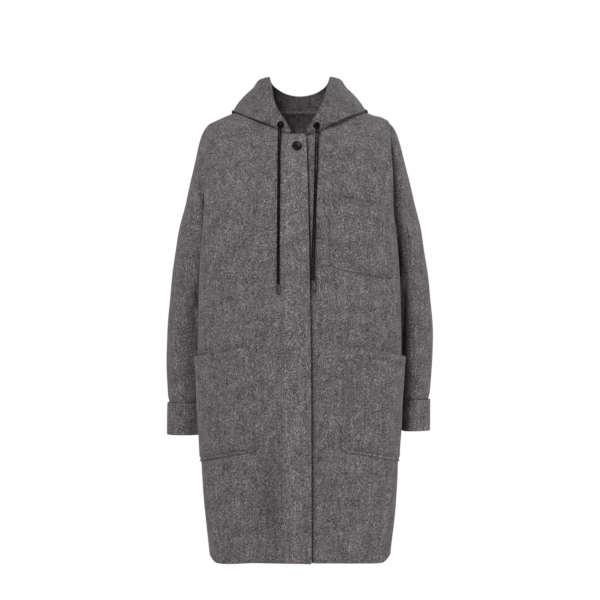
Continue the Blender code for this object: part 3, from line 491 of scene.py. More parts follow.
def capped(rings, start, end):
    """Rings of points joined to a closed skin, each end closed by a fan to its middle point."""
    rows, sides = rings.shape[:2]
    points = np.concatenate([rings.reshape(-1, 3), [start], [end]])
    first = np.arange(sides)
    after = np.roll(first, -1)
    last = (rows - 1) * sides
    pole = np.full(sides, rows * sides)
    near = np.stack([pole, after, first, pole], axis=1)
    far = np.stack([pole + 1, last + first, last + after, pole + 1], axis=1)
    return points, np.concatenate([grid_faces(rows, sides, True), near, far])


def circle(sides):
    """Angles evenly round a circle."""
    return np.linspace(0.0, 2 * math.pi, sides, endpoint=False)


def axes_square_to(axis):
    """Two directions square to an axis and to each other."""
    one = unit(np.cross(axis, np.array([1.0, 0.0, 0.0])))
    return one, np.cross(axis, one)


def tube(path, radius, sides):
    """Circle carried along a path. Point = path + radius * (cos a * one + sin a * two), where one
    and two are square to the path."""
    along = unit(np.gradient(path, axis=0))
    one, two = axes_square_to(along)
    angle = circle(sides)[None, :, None]
    rings = path[:, None] + radius * (np.cos(angle) * one[:, None] + np.sin(angle) * two[:, None])
    return capped(rings, path[0], path[-1])


def strand_path(rows, sign):
    """Evenly spaced points along the smooth curve through one strand's rows."""
    table = [(mark, row.x + sign * row.half, row.y, row.z) for mark, row in enumerate(rows)]
    dense = through(table, np.linspace(0.0, len(rows) - 1.0, ROUTE_POINTS))
    total = lengths(dense)[-1]
    return spread_along(dense, np.linspace(0.0, total, int(total / CORD_STEP) + 1))


print("strand length", round(float(lengths(strand_path(RIGHT_CORD, 1))[-1]), 4))

# %% [markdown]
# Now the cut of the coat. The body is a surface over two numbers: across, which runs from centre
# front (0) over the fold beside the arm (1), the side seam (2) and the shoulder blade (3) to
# centre back (4), and up, which runs from the hem (0) over the yoke (1) to the shoulder seam.
# A short table gives one section per level, as a cutter's measurements would, and a smooth
# curve through the rows gives every level between.

# %% Body sections
CLOTH = 0.0024
LAY = 0.0006
STEP_OUT = CLOTH + LAY
SHOULDER_TOP = 0.030
SHOULDER_FALL = 1.40
SHOULDER_TAPER = 0.05
UP_YOKE = 1.0
UP_TOP = 1.42
FRONT_ROUND = 0.80
Level = namedtuple("Level", "z front fold_x fold_y side_x side_y blade_x blade_y back")
LEVELS = (
    Level(-0.925, 0.126, 0.183, -0.040, 0.177, 0.005, 0.176, 0.050, 0.128),
    Level(-0.840, 0.130, 0.192, -0.050, 0.174, 0.008, 0.176, 0.060, 0.131),
    Level(-0.740, 0.134, 0.200, -0.057, 0.167, 0.010, 0.174, 0.070, 0.134),
    Level(-0.640, 0.137, 0.206, -0.062, 0.160, 0.012, 0.172, 0.080, 0.136),
    Level(-0.520, 0.139, 0.209, -0.066, 0.157, 0.014, 0.172, 0.086, 0.138),
    Level(-0.420, 0.140, 0.208, -0.068, 0.163, 0.013, 0.176, 0.084, 0.137),
    Level(-0.350, 0.140, 0.206, -0.068, 0.178, 0.011, 0.184, 0.080, 0.136),
    Level(-0.300, 0.140, 0.204, -0.067, 0.194, 0.009, 0.192, 0.076, 0.135),
    Level(-0.200, 0.138, 0.197, -0.064, 0.194, 0.006, 0.197, 0.066, 0.130),
)
HEM_Z = LEVELS[0].z
YOKE_Z = LEVELS[-1].z


def turn_of(up):
    """Angle round the shoulder: 0 at the yoke, a quarter turn at the seam."""
    return np.clip((up - UP_YOKE) / (UP_TOP - UP_YOKE), 0.0, 1.0) * math.pi / 2


def body_base(side, across, up):
    """Body without creases. The front is x = fold * sin, y = fold - depth * cos^0.8; the hollow
    beside the arm and the back are soft steps; above the yoke the section turns in on a quarter
    circle up to a seam whose height falls with the square of x."""
    across, up = np.broadcast_arrays(np.asarray(across, float), np.asarray(up, float))
    z = HEM_Z + (YOKE_Z - HEM_Z) * np.clip(up, 0.0, UP_YOKE)
    front, fold_x, fold_y, side_x, side_y, blade_x, blade_y, back = np.moveaxis(through(LEVELS, z), -1, 0)
    turn = across * math.pi / 2
    front_x = fold_x * np.sin(turn)
    front_y = fold_y - (front + fold_y) * np.abs(np.cos(turn)) ** FRONT_ROUND
    into_x = fold_x + (side_x - fold_x) * smooth(across - 1)
    into_y = fold_y + (side_y - fold_y) * (across - 1)
    out_x = side_x + (blade_x - side_x) * smooth(across - 2)
    out_y = side_y + (blade_y - side_y) * (across - 2)
    rest = (4 - across) * math.pi / 2
    back_x = blade_x * np.sin(rest)
    back_y = blade_y + (back - blade_y) * np.abs(np.cos(rest)) ** FRONT_ROUND
    zones = [across < 1, across < 2, across < 3]
    x = np.select(zones, [front_x, into_x, out_x], back_x)
    y = np.select(zones, [front_y, into_y, out_y], back_y)
    shoulder = turn_of(up)
    x = x * (1 - SHOULDER_TAPER * (1 - np.cos(shoulder)))
    z = z + (SHOULDER_TOP - SHOULDER_FALL * x * x - YOKE_Z) * np.sin(shoulder)
    return np.stack([side * x, y * np.cos(shoulder), z], axis=-1)


def body_normal(side, across, up):
    """Outward direction: the cross product of small steps across and up."""
    step = 1e-3
    low = np.clip(up - step, 0.0, UP_TOP - 2 * step)
    along = body_base(side, across + step, up) - body_base(side, across - step, up)
    rise = body_base(side, across, low + 2 * step) - body_base(side, across, low)
    return side * unit(np.cross(along, rise))


print("body", len(LEVELS), "levels, hem at", HEM_Z)

# %% [markdown]
# Thick wool hangs in a few broad, soft folds and shallow dents, never in sharp creases. Each is
# one row: where it starts and ends on the pattern, how wide it is and how deep (minus is a
# trough). Its height falls off as a bell with the distance from that line and fades at the ends.
# No two are alike, and the hidden back has its own. A slow waviness of under a millimetre keeps
# the rest from looking moulded.

# %% Creases
Fold = namedtuple("Fold", "side across width low high depth")
FOLDS = (
    Fold(-1, 0.36, 0.10, -0.20, 0.50, -0.0050),
    Fold(-1, 0.62, 0.12, -0.20, 0.28, 0.0030),
    Fold(+1, 0.52, 0.13, -0.20, 0.34, -0.0030),
    Fold(-1, 3.45, 0.14, -0.20, 0.80, 0.0060),
    Fold(+1, 3.50, 0.13, -0.20, 0.70, 0.0055),
    Fold(-1, 3.80, 0.11, -0.20, 0.62, -0.0045),
    Fold(+1, 3.76, 0.11, -0.20, 0.66, -0.0050),
)
FOLD_FADE = 0.22
Crease = namedtuple("Crease", "across up to_across to_up width depth")
BODY_CREASES = {
    -1: (
        Crease(0.160, 0.03, 0.155, 0.42, 0.021, -0.0130),
        Crease(1.000, -0.30, 1.000, 0.36, 0.050, 0.0018),
        Crease(0.300, 0.02, 0.310, 0.30, 0.015, 0.0016),
        Crease(0.330, 0.30, 0.260, 0.44, 0.012, -0.0014),
        Crease(0.700, 1.08, 0.900, 0.80, 0.022, -0.0022),
        Crease(0.550, 0.62, 0.800, 0.70, 0.018, -0.0013),
        Crease(3.200, 0.95, 3.420, 0.55, 0.022, -0.0030),
        Crease(3.620, 0.86, 3.600, 0.35, 0.016, 0.0022),
        Crease(3.900, 0.70, 3.950, 0.10, 0.020, -0.0022),
    ),
    1: (
        Crease(0.560, 0.02, 0.520, 0.24, 0.016, -0.0018),
        Crease(1.000, -0.30, 1.000, 0.36, 0.050, 0.0030),
        Crease(-0.160, 0.03, -0.155, 0.42, 0.021, -0.0130),
        Crease(0.810, 1.28, 0.800, 1.02, 0.012, 0.0020),
        Crease(1.020, 1.30, 1.120, 0.88, 0.040, -0.0160),
        Crease(0.600, 1.40, 0.950, 1.40, 0.045, 0.0042),
        Crease(3.400, 1.40, 3.050, 1.40, 0.045, 0.0042),
        Crease(0.300, 0.05, 0.330, 0.26, 0.013, 0.0012),
        Crease(0.620, 1.10, 0.850, 0.86, 0.020, -0.0018),
        Crease(0.480, 0.58, 0.760, 0.66, 0.018, -0.0012),
        Crease(0.200, 0.70, 0.330, 0.60, 0.014, -0.0010),
        Crease(3.180, 0.90, 3.350, 0.48, 0.020, -0.0026),
        Crease(3.560, 0.80, 3.640, 0.28, 0.018, 0.0024),
        Crease(3.860, 0.62, 3.820, 0.06, 0.017, -0.0020),
    ),
}
PATTERN_WIDTH = 0.30
PATTERN_HEIGHT = 0.73
CREASE_END = 0.25
CREASE_FADE = 1 / 3


def crease_height(creases, across, up, width_m, height_m, wrap=1000.0):
    """Sum over creases of depth * exp(-(d / width)^2), d being the distance in metres from the
    crease's line on the flat pattern, times a soft fade to CREASE_END over the last third at both
    ends. Wrap is the value of across at which a tube's pattern comes round again."""
    total = np.zeros(np.broadcast(across, up).shape)
    for crease in creases:
        run_u = (crease.to_across - crease.across) * width_m
        run_v = (crease.to_up - crease.up) * height_m
        from_u = ((across - crease.across + wrap / 2) % wrap - wrap / 2) * width_m
        from_v = (up - crease.up) * height_m
        share = np.clip((from_u * run_u + from_v * run_v) / (run_u**2 + run_v**2), 0.0, 1.0)
        away = np.hypot(from_u - share * run_u, from_v - share * run_v)
        fade = CREASE_END + (1 - CREASE_END) * smooth(np.minimum(share, 1 - share) / CREASE_FADE)
        total = total + crease.depth * fade * bell(away, crease.width)
    return total


Wave = namedtuple("Wave", "x y z shift height")
WAVES = (
    Wave(52.0, 21.0, 17.0, 0.4, 0.00030),
    Wave(-31.0, 44.0, 29.0, 1.9, 0.00028),
    Wave(23.0, -27.0, 61.0, 3.1, 0.00022),
    Wave(88.0, 35.0, -47.0, 5.2, 0.00014),
)


def waviness(points):
    """Slow unevenness: a sum of sines of position in a few directions."""
    total = np.zeros(points.shape[:-1])
    for wave in WAVES:
        phase = points @ np.array([wave.x, wave.y, wave.z]) + wave.shift
        total = total + wave.height * np.sin(phase)
    return total


def fold_height(side, across, up):
    """Upright folds of the cut: depth * bell across * soft fade at the top and bottom."""
    total = np.zeros(np.broadcast(across, up).shape)
    for fold in FOLDS:
        near = bell(across - fold.across, fold.width) * between(up, fold.low, fold.high, FOLD_FADE)
        total = total + (fold.side == side) * fold.depth * near
    return total


def body(side, across, up, lift=0.0):
    """Body cloth moved out by lift, with its folds, creases and waviness."""
    base = body_base(side, across, up)
    height = fold_height(side, across, up) + waviness(base) + lift
    height = height + crease_height(BODY_CREASES[side], across, up, PATTERN_WIDTH, PATTERN_HEIGHT)
    return base + body_normal(side, across, up) * height[..., None]


print("creases:", {side: len(rows) for side, rows in BODY_CREASES.items()})

# %% [markdown]
# A piece of cloth is a sheet with two faces and a rounded edge all round. From the grid of its
# middle surface, one face lies half a wall out and one half a wall in, and along each free edge a
# half round joins them. The edge is found from the faces: an edge with a face on one side only is
# free. This works for grids with a notch cut out, such as an armhole.

# %% Cloth shells
SEAM_SHOWN = -0.0003
RIM_STEPS = 5
RIM_ROUND = 0.8


def free_edges(faces, count):
    """Edges that only one face uses, as pairs of points that run with that face."""
    pairs = np.concatenate([faces[:, [k, (k + 1) % 4]] for k in range(4)])
    code = pairs[:, 0] * count + pairs[:, 1]
    back = pairs[:, 1] * count + pairs[:, 0]
    return pairs[~np.isin(code, back)]


def shell(name, middle, out, node, ring=False, keep=None, wall=CLOTH, gap=SEAM_SHOWN, material=WOOL):
    """Closed sheet of cloth about a grid. Faces are middle +- out * wall / 2. The edge is the half
    round middle - b * (gap / 2 + r) + b * r * cos a + out * wall / 2 * sin a, with b pointing off
    the sheet, r = wall / 2 * roundness, and a from +90 to -90 degrees."""
    faces = grid_faces(*middle.shape[:2], ring)
    if keep is not None:
        faces = faces[keep.ravel()]
    used, faces = np.unique(faces, return_inverse=True)
    faces = faces.reshape(-1, 4)
    points = middle.reshape(-1, 3)[used].copy()
    out = out.reshape(-1, 3)[used]
    half = np.broadcast_to(np.asarray(wall, float), middle.shape[:2]).reshape(-1)[used][:, None] / 2
    first, second, third, fourth = (points[faces[:, k]] for k in range(4))
    if (np.cross(third - first, fourth - second) * out[faces[:, 0]]).sum() < 0:
        faces = faces[:, [0, 3, 2, 1]]
    count = len(points)
    rim = free_edges(faces, count)
    ahead = np.zeros(count, dtype=int)
    behind = np.zeros(count, dtype=int)
    ahead[rim[:, 0]] = rim[:, 1]
    behind[rim[:, 1]] = rim[:, 0]
    edge = rim[:, 0]
    off = -unit(np.cross(out[edge], unit(points[ahead[edge]] - points[behind[edge]])))
    round_off = half[edge] * RIM_ROUND
    points[edge] -= off * (gap / 2 + round_off)
    place = np.zeros(count, dtype=int)
    place[edge] = np.arange(len(edge))
    layers = [points + out * half, points - out * half]
    for angle in np.linspace(math.pi / 2, -math.pi / 2, RIM_STEPS + 1)[1:-1]:
        bulge = off * round_off * math.cos(angle) + out[edge] * half[edge] * math.sin(angle)
        layers.append(points[edge] + bulge)

    def level(step, which):
        """Numbers of the rim's points on one step of the half round."""
        if step == 0:
            return which
        if step == RIM_STEPS:
            return which + count
        return 2 * count + (step - 1) * len(edge) + place[which]

    rims = [
        np.stack(
            [level(k, rim[:, 1]), level(k, rim[:, 0]), level(k + 1, rim[:, 0]), level(k + 1, rim[:, 1])],
            axis=1,
        )
        for k in range(RIM_STEPS)
    ]
    every = np.concatenate([faces, faces[:, [0, 3, 2, 1]] + count] + rims)
    piece = put_piece(name, np.concatenate(layers), every, material, node, "wool")
    print(name, len(every), "faces")
    return piece


# %% [markdown]
# A front and a half back are cut alike: up from the hem, a notch for the armhole in the upper
# outer corner, a shoulder seam and a curved neck. The grid is blended between the piece's four
# edges, first for the face and then for the strip under the arm, and the armhole's points are
# shared with the sleeve, so that both meet in the seam.

# %% Panels
NECK_X = 0.083
ARM_X = 0.186
NECK_FRONT_Z = -0.050
NECK_BACK_Z = 0.010
NECK_SQUARE = 2.5
UNDERARM_Z = -0.300
ARMHOLE_SQUARE = 2.7
LEFT_EDGE_X = -0.026
RIGHT_EDGE_X = 0.037
PLACKET_TOP_X = 0.0125
PLACKET_HEM_X = 0.0235
PLACKET_BEND = 3
OVERLAP_RAMP = 0.055
NECK_COLUMNS = 56
SHOULDER_COLUMNS = 24
SIDE_COLUMNS = 20
LOWER_ROWS = 96
UPPER_ROWS = 48
FACE_COLUMNS = NECK_COLUMNS + SHOULDER_COLUMNS
HEM_FOLD = 1.10
NOTCH_TURN = math.radians(55)
NOTCH_UP = 0.90
DENSE = 800


def up_at(z, top=SHOULDER_TOP):
    """Pattern height of a level, for a column whose shoulder seam is at top."""
    below = (z - HEM_Z) / (YOKE_Z - HEM_Z)
    turn = np.arcsin(np.clip((z - YOKE_Z) / (top - YOKE_Z), 0.0, 1.0))
    return np.where(np.asarray(z) < YOKE_Z, below, UP_YOKE + turn / (math.pi / 2) * (UP_TOP - UP_YOKE))


def across_at(x, up):
    """Across value of the front column at distance x from the middle plane."""
    z = HEM_Z + (YOKE_Z - HEM_Z) * np.clip(up, 0.0, UP_YOKE)
    half = through(LEVELS, z)[..., 1] * (1 - SHOULDER_TAPER * (1 - np.cos(turn_of(up))))
    return np.arcsin(x / half) / (math.pi / 2)


UNDERARM_UP = (UNDERARM_Z - HEM_Z) / (YOKE_Z - HEM_Z)
NECK_FRONT_UP = float(up_at(NECK_FRONT_Z))
NECK_BACK_UP = float(up_at(NECK_BACK_Z))
NECK_ACROSS = float(across_at(NECK_X, np.array(UP_TOP)))
ARM_ACROSS = float(across_at(ARM_X, np.array(UP_TOP)))


def neck_up(across, low):
    """Neckline: a rounded curve from its lowest point at the middle up to the shoulder seam."""
    share = np.clip(np.abs(across) / NECK_ACROSS, 0.0, 1.0)
    return UP_TOP - (UP_TOP - low) * (1 - share**NECK_SQUARE) ** (1 / NECK_SQUARE)


def on_middle(middle, across):
    """Across value counted from centre front (middle 0) or centre back (middle 4)."""
    return 4.0 - across if middle else across


def even(side, middle, line, count):
    """A dense line of across and up on the body, spread to evenly spaced points."""
    length = lengths(body_base(side, on_middle(middle, line[:, 0]), line[:, 1]))
    return read_at(np.linspace(0.0, length[-1], count + 1), length, line)


def straight(start, end, count):
    """Evenly spaced points of the pattern from start to end."""
    return np.linspace(start, end, count + 1)


def armhole(side, middle):
    """Armhole as two lines, shoulder to notch corner and on to the underarm, on a rounded curve."""
    lines = []
    for low, high, count in ((0.0, NOTCH_TURN, UPPER_ROWS), (NOTCH_TURN, math.pi / 2, SIDE_COLUMNS)):
        angle = np.linspace(low, high, DENSE)
        down = np.sin(angle) ** (2 / ARMHOLE_SQUARE)
        keep = np.abs(np.cos(angle)) ** (2 / ARMHOLE_SQUARE)
        line = np.stack([2.0 + (ARM_ACROSS - 2.0) * keep, UP_TOP + (UNDERARM_UP - UP_TOP) * down], axis=1)
        lines.append(even(side, middle, line, count))
    return lines


def blend(bottom, top, left, right):
    """Grid between four edges: the mix of left and right, plus that of bottom and top, less the
    mix of the corners."""
    u = np.linspace(0.0, 1.0, len(bottom))[None, :, None]
    w = np.linspace(0.0, 1.0, len(left))[:, None, None]
    sides = (1 - u) * left[:, None] + u * right[:, None]
    ends = (1 - w) * bottom[None] + w * top[None]
    low = (1 - u) * bottom[0] + u * bottom[-1]
    high = (1 - u) * top[0] + u * top[-1]
    return sides + ends - (1 - w) * low - w * high


def panel(side, middle, start_x):
    """Pattern of a front (middle 0) or half back (middle 4): grids of across and up."""
    upper, lower = armhole(side, middle)
    low = NECK_BACK_UP if middle else NECK_FRONT_UP
    start = start_x / NECK_X * NECK_ACROSS
    neck = start + (NECK_ACROSS - start) * np.sin(np.linspace(0.0, math.pi / 2, DENSE))
    neck_line = even(side, middle, np.stack([neck, neck_up(neck, low)], axis=1), NECK_COLUMNS)
    seam = np.linspace((NECK_ACROSS, UP_TOP), (ARM_ACROSS, UP_TOP), DENSE)
    top = np.concatenate([neck_line, even(side, middle, seam, SHOULDER_COLUMNS)[1:]])
    above = straight(NOTCH_UP, top[0, 1], UPPER_ROWS)
    rise = np.concatenate([straight(0.0, NOTCH_UP, LOWER_ROWS), above[1:]])
    left = np.stack([across_at(start_x, rise), rise], axis=1)
    left[-1] = top[0]
    fold = straight((HEM_FOLD, 0.0), lower[0], LOWER_ROWS)
    right = np.concatenate([fold, upper[-2::-1]])
    face = blend(straight(left[0], right[0], FACE_COLUMNS), top, left, right)
    seam_line = straight((2.0, 0.0), (2.0, UNDERARM_UP), LOWER_ROWS)
    strip = blend(straight(right[0], seam_line[0], SIDE_COLUMNS), lower, fold, seam_line)
    grid = np.repeat(face[:, -1:], FACE_COLUMNS + SIDE_COLUMNS + 1, axis=1)
    grid[:, : FACE_COLUMNS + 1] = face
    grid[: LOWER_ROWS + 1, FACE_COLUMNS:] = strip
    return on_middle(middle, grid[:, :, 0]), grid[:, :, 1]


def notch():
    """Squares of a panel grid that are cloth: all but the armhole notch."""
    keep = np.ones((LOWER_ROWS + UPPER_ROWS, FACE_COLUMNS + SIDE_COLUMNS), dtype=bool)
    keep[LOWER_ROWS:, FACE_COLUMNS:] = False
    return keep


def overlap_lift(across):
    """How far the right front steps out to carry the placket over the left front."""
    edge = float(across_at(RIGHT_EDGE_X, np.array(UP_YOKE)))
    ramp = OVERLAP_RAMP / LEVELS[-1].fold_x / (math.pi / 2)
    return STEP_OUT * smooth((edge + ramp - across) / ramp)


def outer_cloth(side, across, up, lift=0.0):
    """Points and directions out of the fronts' cloth, with the step that carries the placket."""
    step = overlap_lift(across) * (side < 0)
    return body(side, across, up, lift + step), body_normal(side, across, up)


print("panel grid:", LOWER_ROWS + UPPER_ROWS, "by", FACE_COLUMNS + SIDE_COLUMNS, "squares")

# %% [markdown]
# Three small things make the fronts read as hung layers of cloth. The hem's corners are rounded off
# where it turns to the sides, and it hangs a little lower there than in the middle. And the free
# edge of the placket stands a little proud, over a shallow groove in the cloth beneath, so that it
# draws one thin dark line from neck to hem.

# %% Fronts and back
HEM_RISE = 0.014
HEM_REACH = 0.14
CORNER_WIDTH = 0.014
BACK_CORNER = 3.70
BACK_SHARE = 1.70
HEM_DROP = 0.0045
DROP_FROM = 0.15
DROP_SHARE = 0.55
GROOVE_DEPTH = 0.0075
GROOVE_WIDTH = 0.0040
GROOVE_BESIDE = 0.0018


def hem_corner(across, up):
    """Pattern height with the hem's outer corners rounded. The rise is HEM_RISE * share^2, with
    share growing from 0 to 1 over the last CORNER_WIDTH of the hem's half width."""
    far = body_base(1, across, np.zeros_like(across))[..., 0]
    share = np.clip(1 - (LEVELS[0].fold_x - far) / CORNER_WIDTH, 0.0, 1.0)
    rise = HEM_RISE / (YOKE_Z - HEM_Z) * share**2
    return up + rise * (1 - smooth(up / HEM_REACH))


def hung(points, across, up):
    """Points with the hem hanging a little lower towards the sides, by soft steps across and up."""
    aside = smooth((across - DROP_FROM) / DROP_SHARE) * smooth((BACK_CORNER - across) / BACK_SHARE)
    lower = points.copy()
    lower[..., 2] -= HEM_DROP * aside * (1 - smooth(up / HEM_REACH))
    return lower


def placket_end(up):
    """Distance of the placket's free edge from the middle plane, at a pattern height."""
    level = np.clip(up / NECK_FRONT_UP, 0.0, 1.0)
    return PLACKET_HEM_X + (PLACKET_TOP_X - PLACKET_HEM_X) * level**PLACKET_BEND


def groove(across, up):
    """Bell-shaped trough in the left front just beside the placket's free edge."""
    beside = body_base(1, across, up)[..., 0] - placket_end(up) - GROOVE_BESIDE
    return -GROOVE_DEPTH * bell(beside, GROOVE_WIDTH)


def panel_sheet(side, across, up, lift=0.0):
    """Points of a front or half back with its hem hung, and directions out of the coat."""
    return hung(body(side, across, up, lift), across, up), body_normal(side, across, up)


left_across, left_up = panel(1, 0, LEFT_EDGE_X)
left_up = hem_corner(left_across, left_up)
left_sheet = panel_sheet(1, left_across, left_up, groove(left_across, left_up))
front_left = shell("front_left_cloth", *left_sheet, "front_left", keep=notch())
right_across, right_up = panel(-1, 0, RIGHT_EDGE_X)
right_up = hem_corner(right_across, right_up)
right_sheet = panel_sheet(-1, right_across, right_up, overlap_lift(right_across))
# The right front's wool carries the painted shade oval.
front_right = shell("front_right_cloth", *right_sheet, "front_right", keep=notch(), material=FRONT_SHADED_WOOL)
half_across, half_up = panel(1, 4, 0.0)
half_up = hem_corner(half_across, half_up)
half_sheets = [panel_sheet(side, half_across, half_up) for side in (-1, 1)]
right_half, left_half = (points for points, out in half_sheets)
right_half[:, 0] = left_half[:, 0] = (right_half[:, 0] + left_half[:, 0]) / 2
back_sheet = [np.concatenate([right[:, :0:-1], left], axis=1) for right, left in zip(*half_sheets)]
back_keep = np.concatenate([notch()[:, ::-1], notch()], axis=1)
back = shell("back_cloth", *back_sheet, "back", keep=back_keep)

# %% [markdown]
# The placket is a long strip on the overlap. One long edge is sewn to the right front, and the
# other is free and lies over the left front, a little further out at the hem than at the neck.
# It is the same body surface again, one cloth further out.

# %% Placket
PLACKET_COLUMNS = 30
PLACKET_ROLL = 0.0042
ROLL_FROM = 0.62
PLACKET_CORNER = 0.005
CORNER_LEVEL = 0.985
SEWN_DIP = 0.0006
SEWN_BAND = 0.07


def placket_place(share, level):
    """Points and outward directions of the placket's middle surface. Share runs from the sewn
    edge to the free one, level from hem to neck. The free edge rolls out by a soft step."""
    share, level = np.broadcast_arrays(share, level)
    corner = PLACKET_CORNER * smooth((level - CORNER_LEVEL) / (1 - CORNER_LEVEL)) ** 2
    x = RIGHT_EDGE_X - (placket_end(level * NECK_FRONT_UP) - corner + RIGHT_EDGE_X) * share
    across = across_at(x, level * NECK_FRONT_UP)
    up = level * neck_up(across, NECK_FRONT_UP)
    roll = PLACKET_ROLL * smooth((share - ROLL_FROM) / (1 - ROLL_FROM))
    dip = SEWN_DIP * (1 - smooth(share / SEWN_BAND))
    return body(-1, across, up, STEP_OUT + roll - dip), body_normal(-1, across, up)


placket_share = np.linspace(0.0, 1.0, PLACKET_COLUMNS + 1)[None, :]
placket_level = np.linspace(0.0, 1.0, LOWER_ROWS + UPPER_ROWS + 1)[:, None]
placket_sheet = placket_place(placket_share, placket_level)
# The placket is in the lighter wool, a painted light.
placket = shell("placket_cloth", *placket_sheet, "placket", material=PLACKET_LIT_WOOL)

# %% [markdown]
# A sleeve is a stack of rings: rounded squares read from a table of sections, each with its outer
# and inner side and its depth. The cuff is a band of its own, a little wider, from a second table.
# A cylinder could be bent into this, but a table keeps the widths as they were measured.

# %% Sleeve sections
Section = namedtuple("Section", "out_x out_z in_x in_z mid_y half_y")
SLEEVE = (
    Section(0.2130, -0.075, 0.2070, -0.309, 0.006, 0.060),
    Section(0.2270, -0.136, 0.2070, -0.322, 0.008, 0.061),
    Section(0.2385, -0.190, 0.2040, -0.340, 0.010, 0.061),
    Section(0.2500, -0.240, 0.1990, -0.362, 0.013, 0.061),
    Section(0.2590, -0.295, 0.1930, -0.388, 0.017, 0.060),
    Section(0.2660, -0.345, 0.1870, -0.418, 0.021, 0.058),
    Section(0.2715, -0.400, 0.1815, -0.450, 0.024, 0.056),
    Section(0.2755, -0.450, 0.1780, -0.486, 0.026, 0.054),
    Section(0.2765, -0.500, 0.1755, -0.522, 0.027, 0.052),
    Section(0.2745, -0.550, 0.1755, -0.560, 0.027, 0.050),
    Section(0.2715, -0.600, 0.1765, -0.600, 0.026, 0.048),
)
CUFF = (
    Section(0.2725, -0.600, 0.1755, -0.600, 0.026, 0.049),
    Section(0.2728, -0.622, 0.1760, -0.622, 0.025, 0.049),
    Section(0.2728, -0.644, 0.1768, -0.644, 0.025, 0.0485),
    Section(0.2725, -0.666, 0.1778, -0.666, 0.024, 0.048),
)
SLEEVE_SQUARE = 2.2
RING_POINTS = 2 * (UPPER_ROWS + SIDE_COLUMNS)
AROUND = np.linspace(0.0, 1.0, RING_POINTS, endpoint=False)


def section_rings(table, count):
    """Rounded square rings, x^2.2 + y^2.2 = 1 stretched to each section, spread evenly round."""
    rows = through([(mark, *row) for mark, row in enumerate(table)], np.linspace(0, len(table) - 1, count))
    out_x, out_z, in_x, in_z, mid_y, half_y = rows.T[:, :, None]
    turn = np.linspace(0.0, 2 * math.pi, DENSE + 1)
    outward = np.sign(np.cos(turn)) * np.abs(np.cos(turn)) ** (2 / SLEEVE_SQUARE)
    forward = np.sign(np.sin(turn)) * np.abs(np.sin(turn)) ** (2 / SLEEVE_SQUARE)
    x = (out_x + in_x) / 2 + outward * (out_x - in_x) / 2
    z = (out_z + in_z) / 2 + outward * (out_z - in_z) / 2
    dense = np.stack([x, mid_y - forward * half_y, z], axis=-1)
    return np.array([spread_along(ring, AROUND * lengths(ring)[-1]) for ring in dense])


def ring_out(rings, side):
    """Directions out of a tube: the cross product of the steps around and along it."""
    around = np.roll(rings, -1, axis=1) - np.roll(rings, 1, axis=1)
    return side * unit(np.cross(around, np.gradient(rings, axis=0)))


print("sleeve sections:", len(SLEEVE), "and of the cuff:", len(CUFF))

# %% [markdown]
# No two sleeves hang alike. One is a little lower, and each stands out by its own amount. Where they
# hang against the body, the cloth is pushed in: those dents are broad, so each follows the
# height and the place round the ring. The elbow's creases are rows like those of the body. On the
# left the cloth also tucks in under the shoulder's edge, which draws a dark line down the seam.

# %% Sleeve folds
UPRIGHT = np.array([0.0, 0.0, 1.0])
SLEEVE_DROP = {-1: -0.004, 1: 0.003}
SleeveOut = namedtuple("SleeveOut", "z out")
SLEEVE_OUT = {
    -1: (
        SleeveOut(-0.66, 0.0055),
        SleeveOut(-0.47, 0.0032),
        SleeveOut(-0.24, 0.0020),
        SleeveOut(-0.05, 0.0),
    ),
    1: (
        SleeveOut(-0.62, 0.0005),
        SleeveOut(-0.47, 0.0040),
        SleeveOut(-0.24, 0.0040),
        SleeveOut(-0.05, 0.0),
    ),
}
TUCK = {-1: -0.0008, 1: -0.0240}
TUCK_AT = 0.19
TUCK_WIDTH = 0.12
TUCK_BESIDE = 0.016
TUCK_SHARE = 0.060
Dent = namedtuple("Dent", "at width high low fade depth")
DENTS = {
    -1: (Dent(0.36, 0.09, -0.12, -0.40, 0.08, 0.012), Dent(0.33, 0.11, -0.30, -0.90, 0.14, -0.020)),
    1: (Dent(0.330, 0.052, -0.22, -0.90, 0.14, -0.036),),
}
SLEEVE_CREASES = {
    -1: (
        Crease(0.30, 0.52, 0.47, 0.60, 0.017, -0.0030),
        Crease(0.16, 0.66, 0.42, 0.70, 0.018, -0.0024),
        Crease(0.24, 0.60, 0.44, 0.65, 0.013, 0.0016),
        Crease(0.20, 0.26, 0.38, 0.42, 0.022, -0.0022),
        Crease(0.10, 0.84, 0.34, 0.80, 0.015, -0.0018),
        Crease(0.58, 0.54, 0.82, 0.62, 0.020, -0.0030),
        Crease(0.62, 0.68, 0.88, 0.72, 0.016, -0.0022),
    ),
    1: (
        Crease(0.28, 0.56, 0.46, 0.63, 0.018, -0.0026),
        Crease(0.14, 0.70, 0.40, 0.73, 0.016, -0.0022),
        Crease(0.22, 0.30, 0.40, 0.44, 0.022, -0.0024),
        Crease(0.12, 0.88, 0.36, 0.85, 0.014, -0.0016),
        Crease(0.60, 0.50, 0.80, 0.60, 0.020, -0.0028),
        Crease(0.64, 0.72, 0.86, 0.75, 0.017, -0.0020),
    ),
}


def hang(rings, side):
    """Lets one sleeve hang a little lower, more so towards the cuff, and each a little wider out."""
    down = np.maximum((rings[:, :, 2] - UNDERARM_Z) / (CUFF[0].out_z - UNDERARM_Z), 0.0)
    levels, outs = np.array(SLEEVE_OUT[side]).T
    moved = rings + (SLEEVE_DROP[side] * down)[:, :, None] * UPRIGHT
    moved[:, :, 0] += side * np.interp(rings[:, :, 2], levels, outs)
    return moved


def hollow(rings, side):
    """Dents where a sleeve hangs against the body: each is depth * bell around * soft steps at its
    highest and lowest level."""
    z = rings[:, :, 2]
    total = np.zeros(z.shape)
    for dent in DENTS[side]:
        near = bell(AROUND - dent.at, dent.width) * between(z, dent.low, dent.high, dent.fade)
        total = total + dent.depth * near
    return total


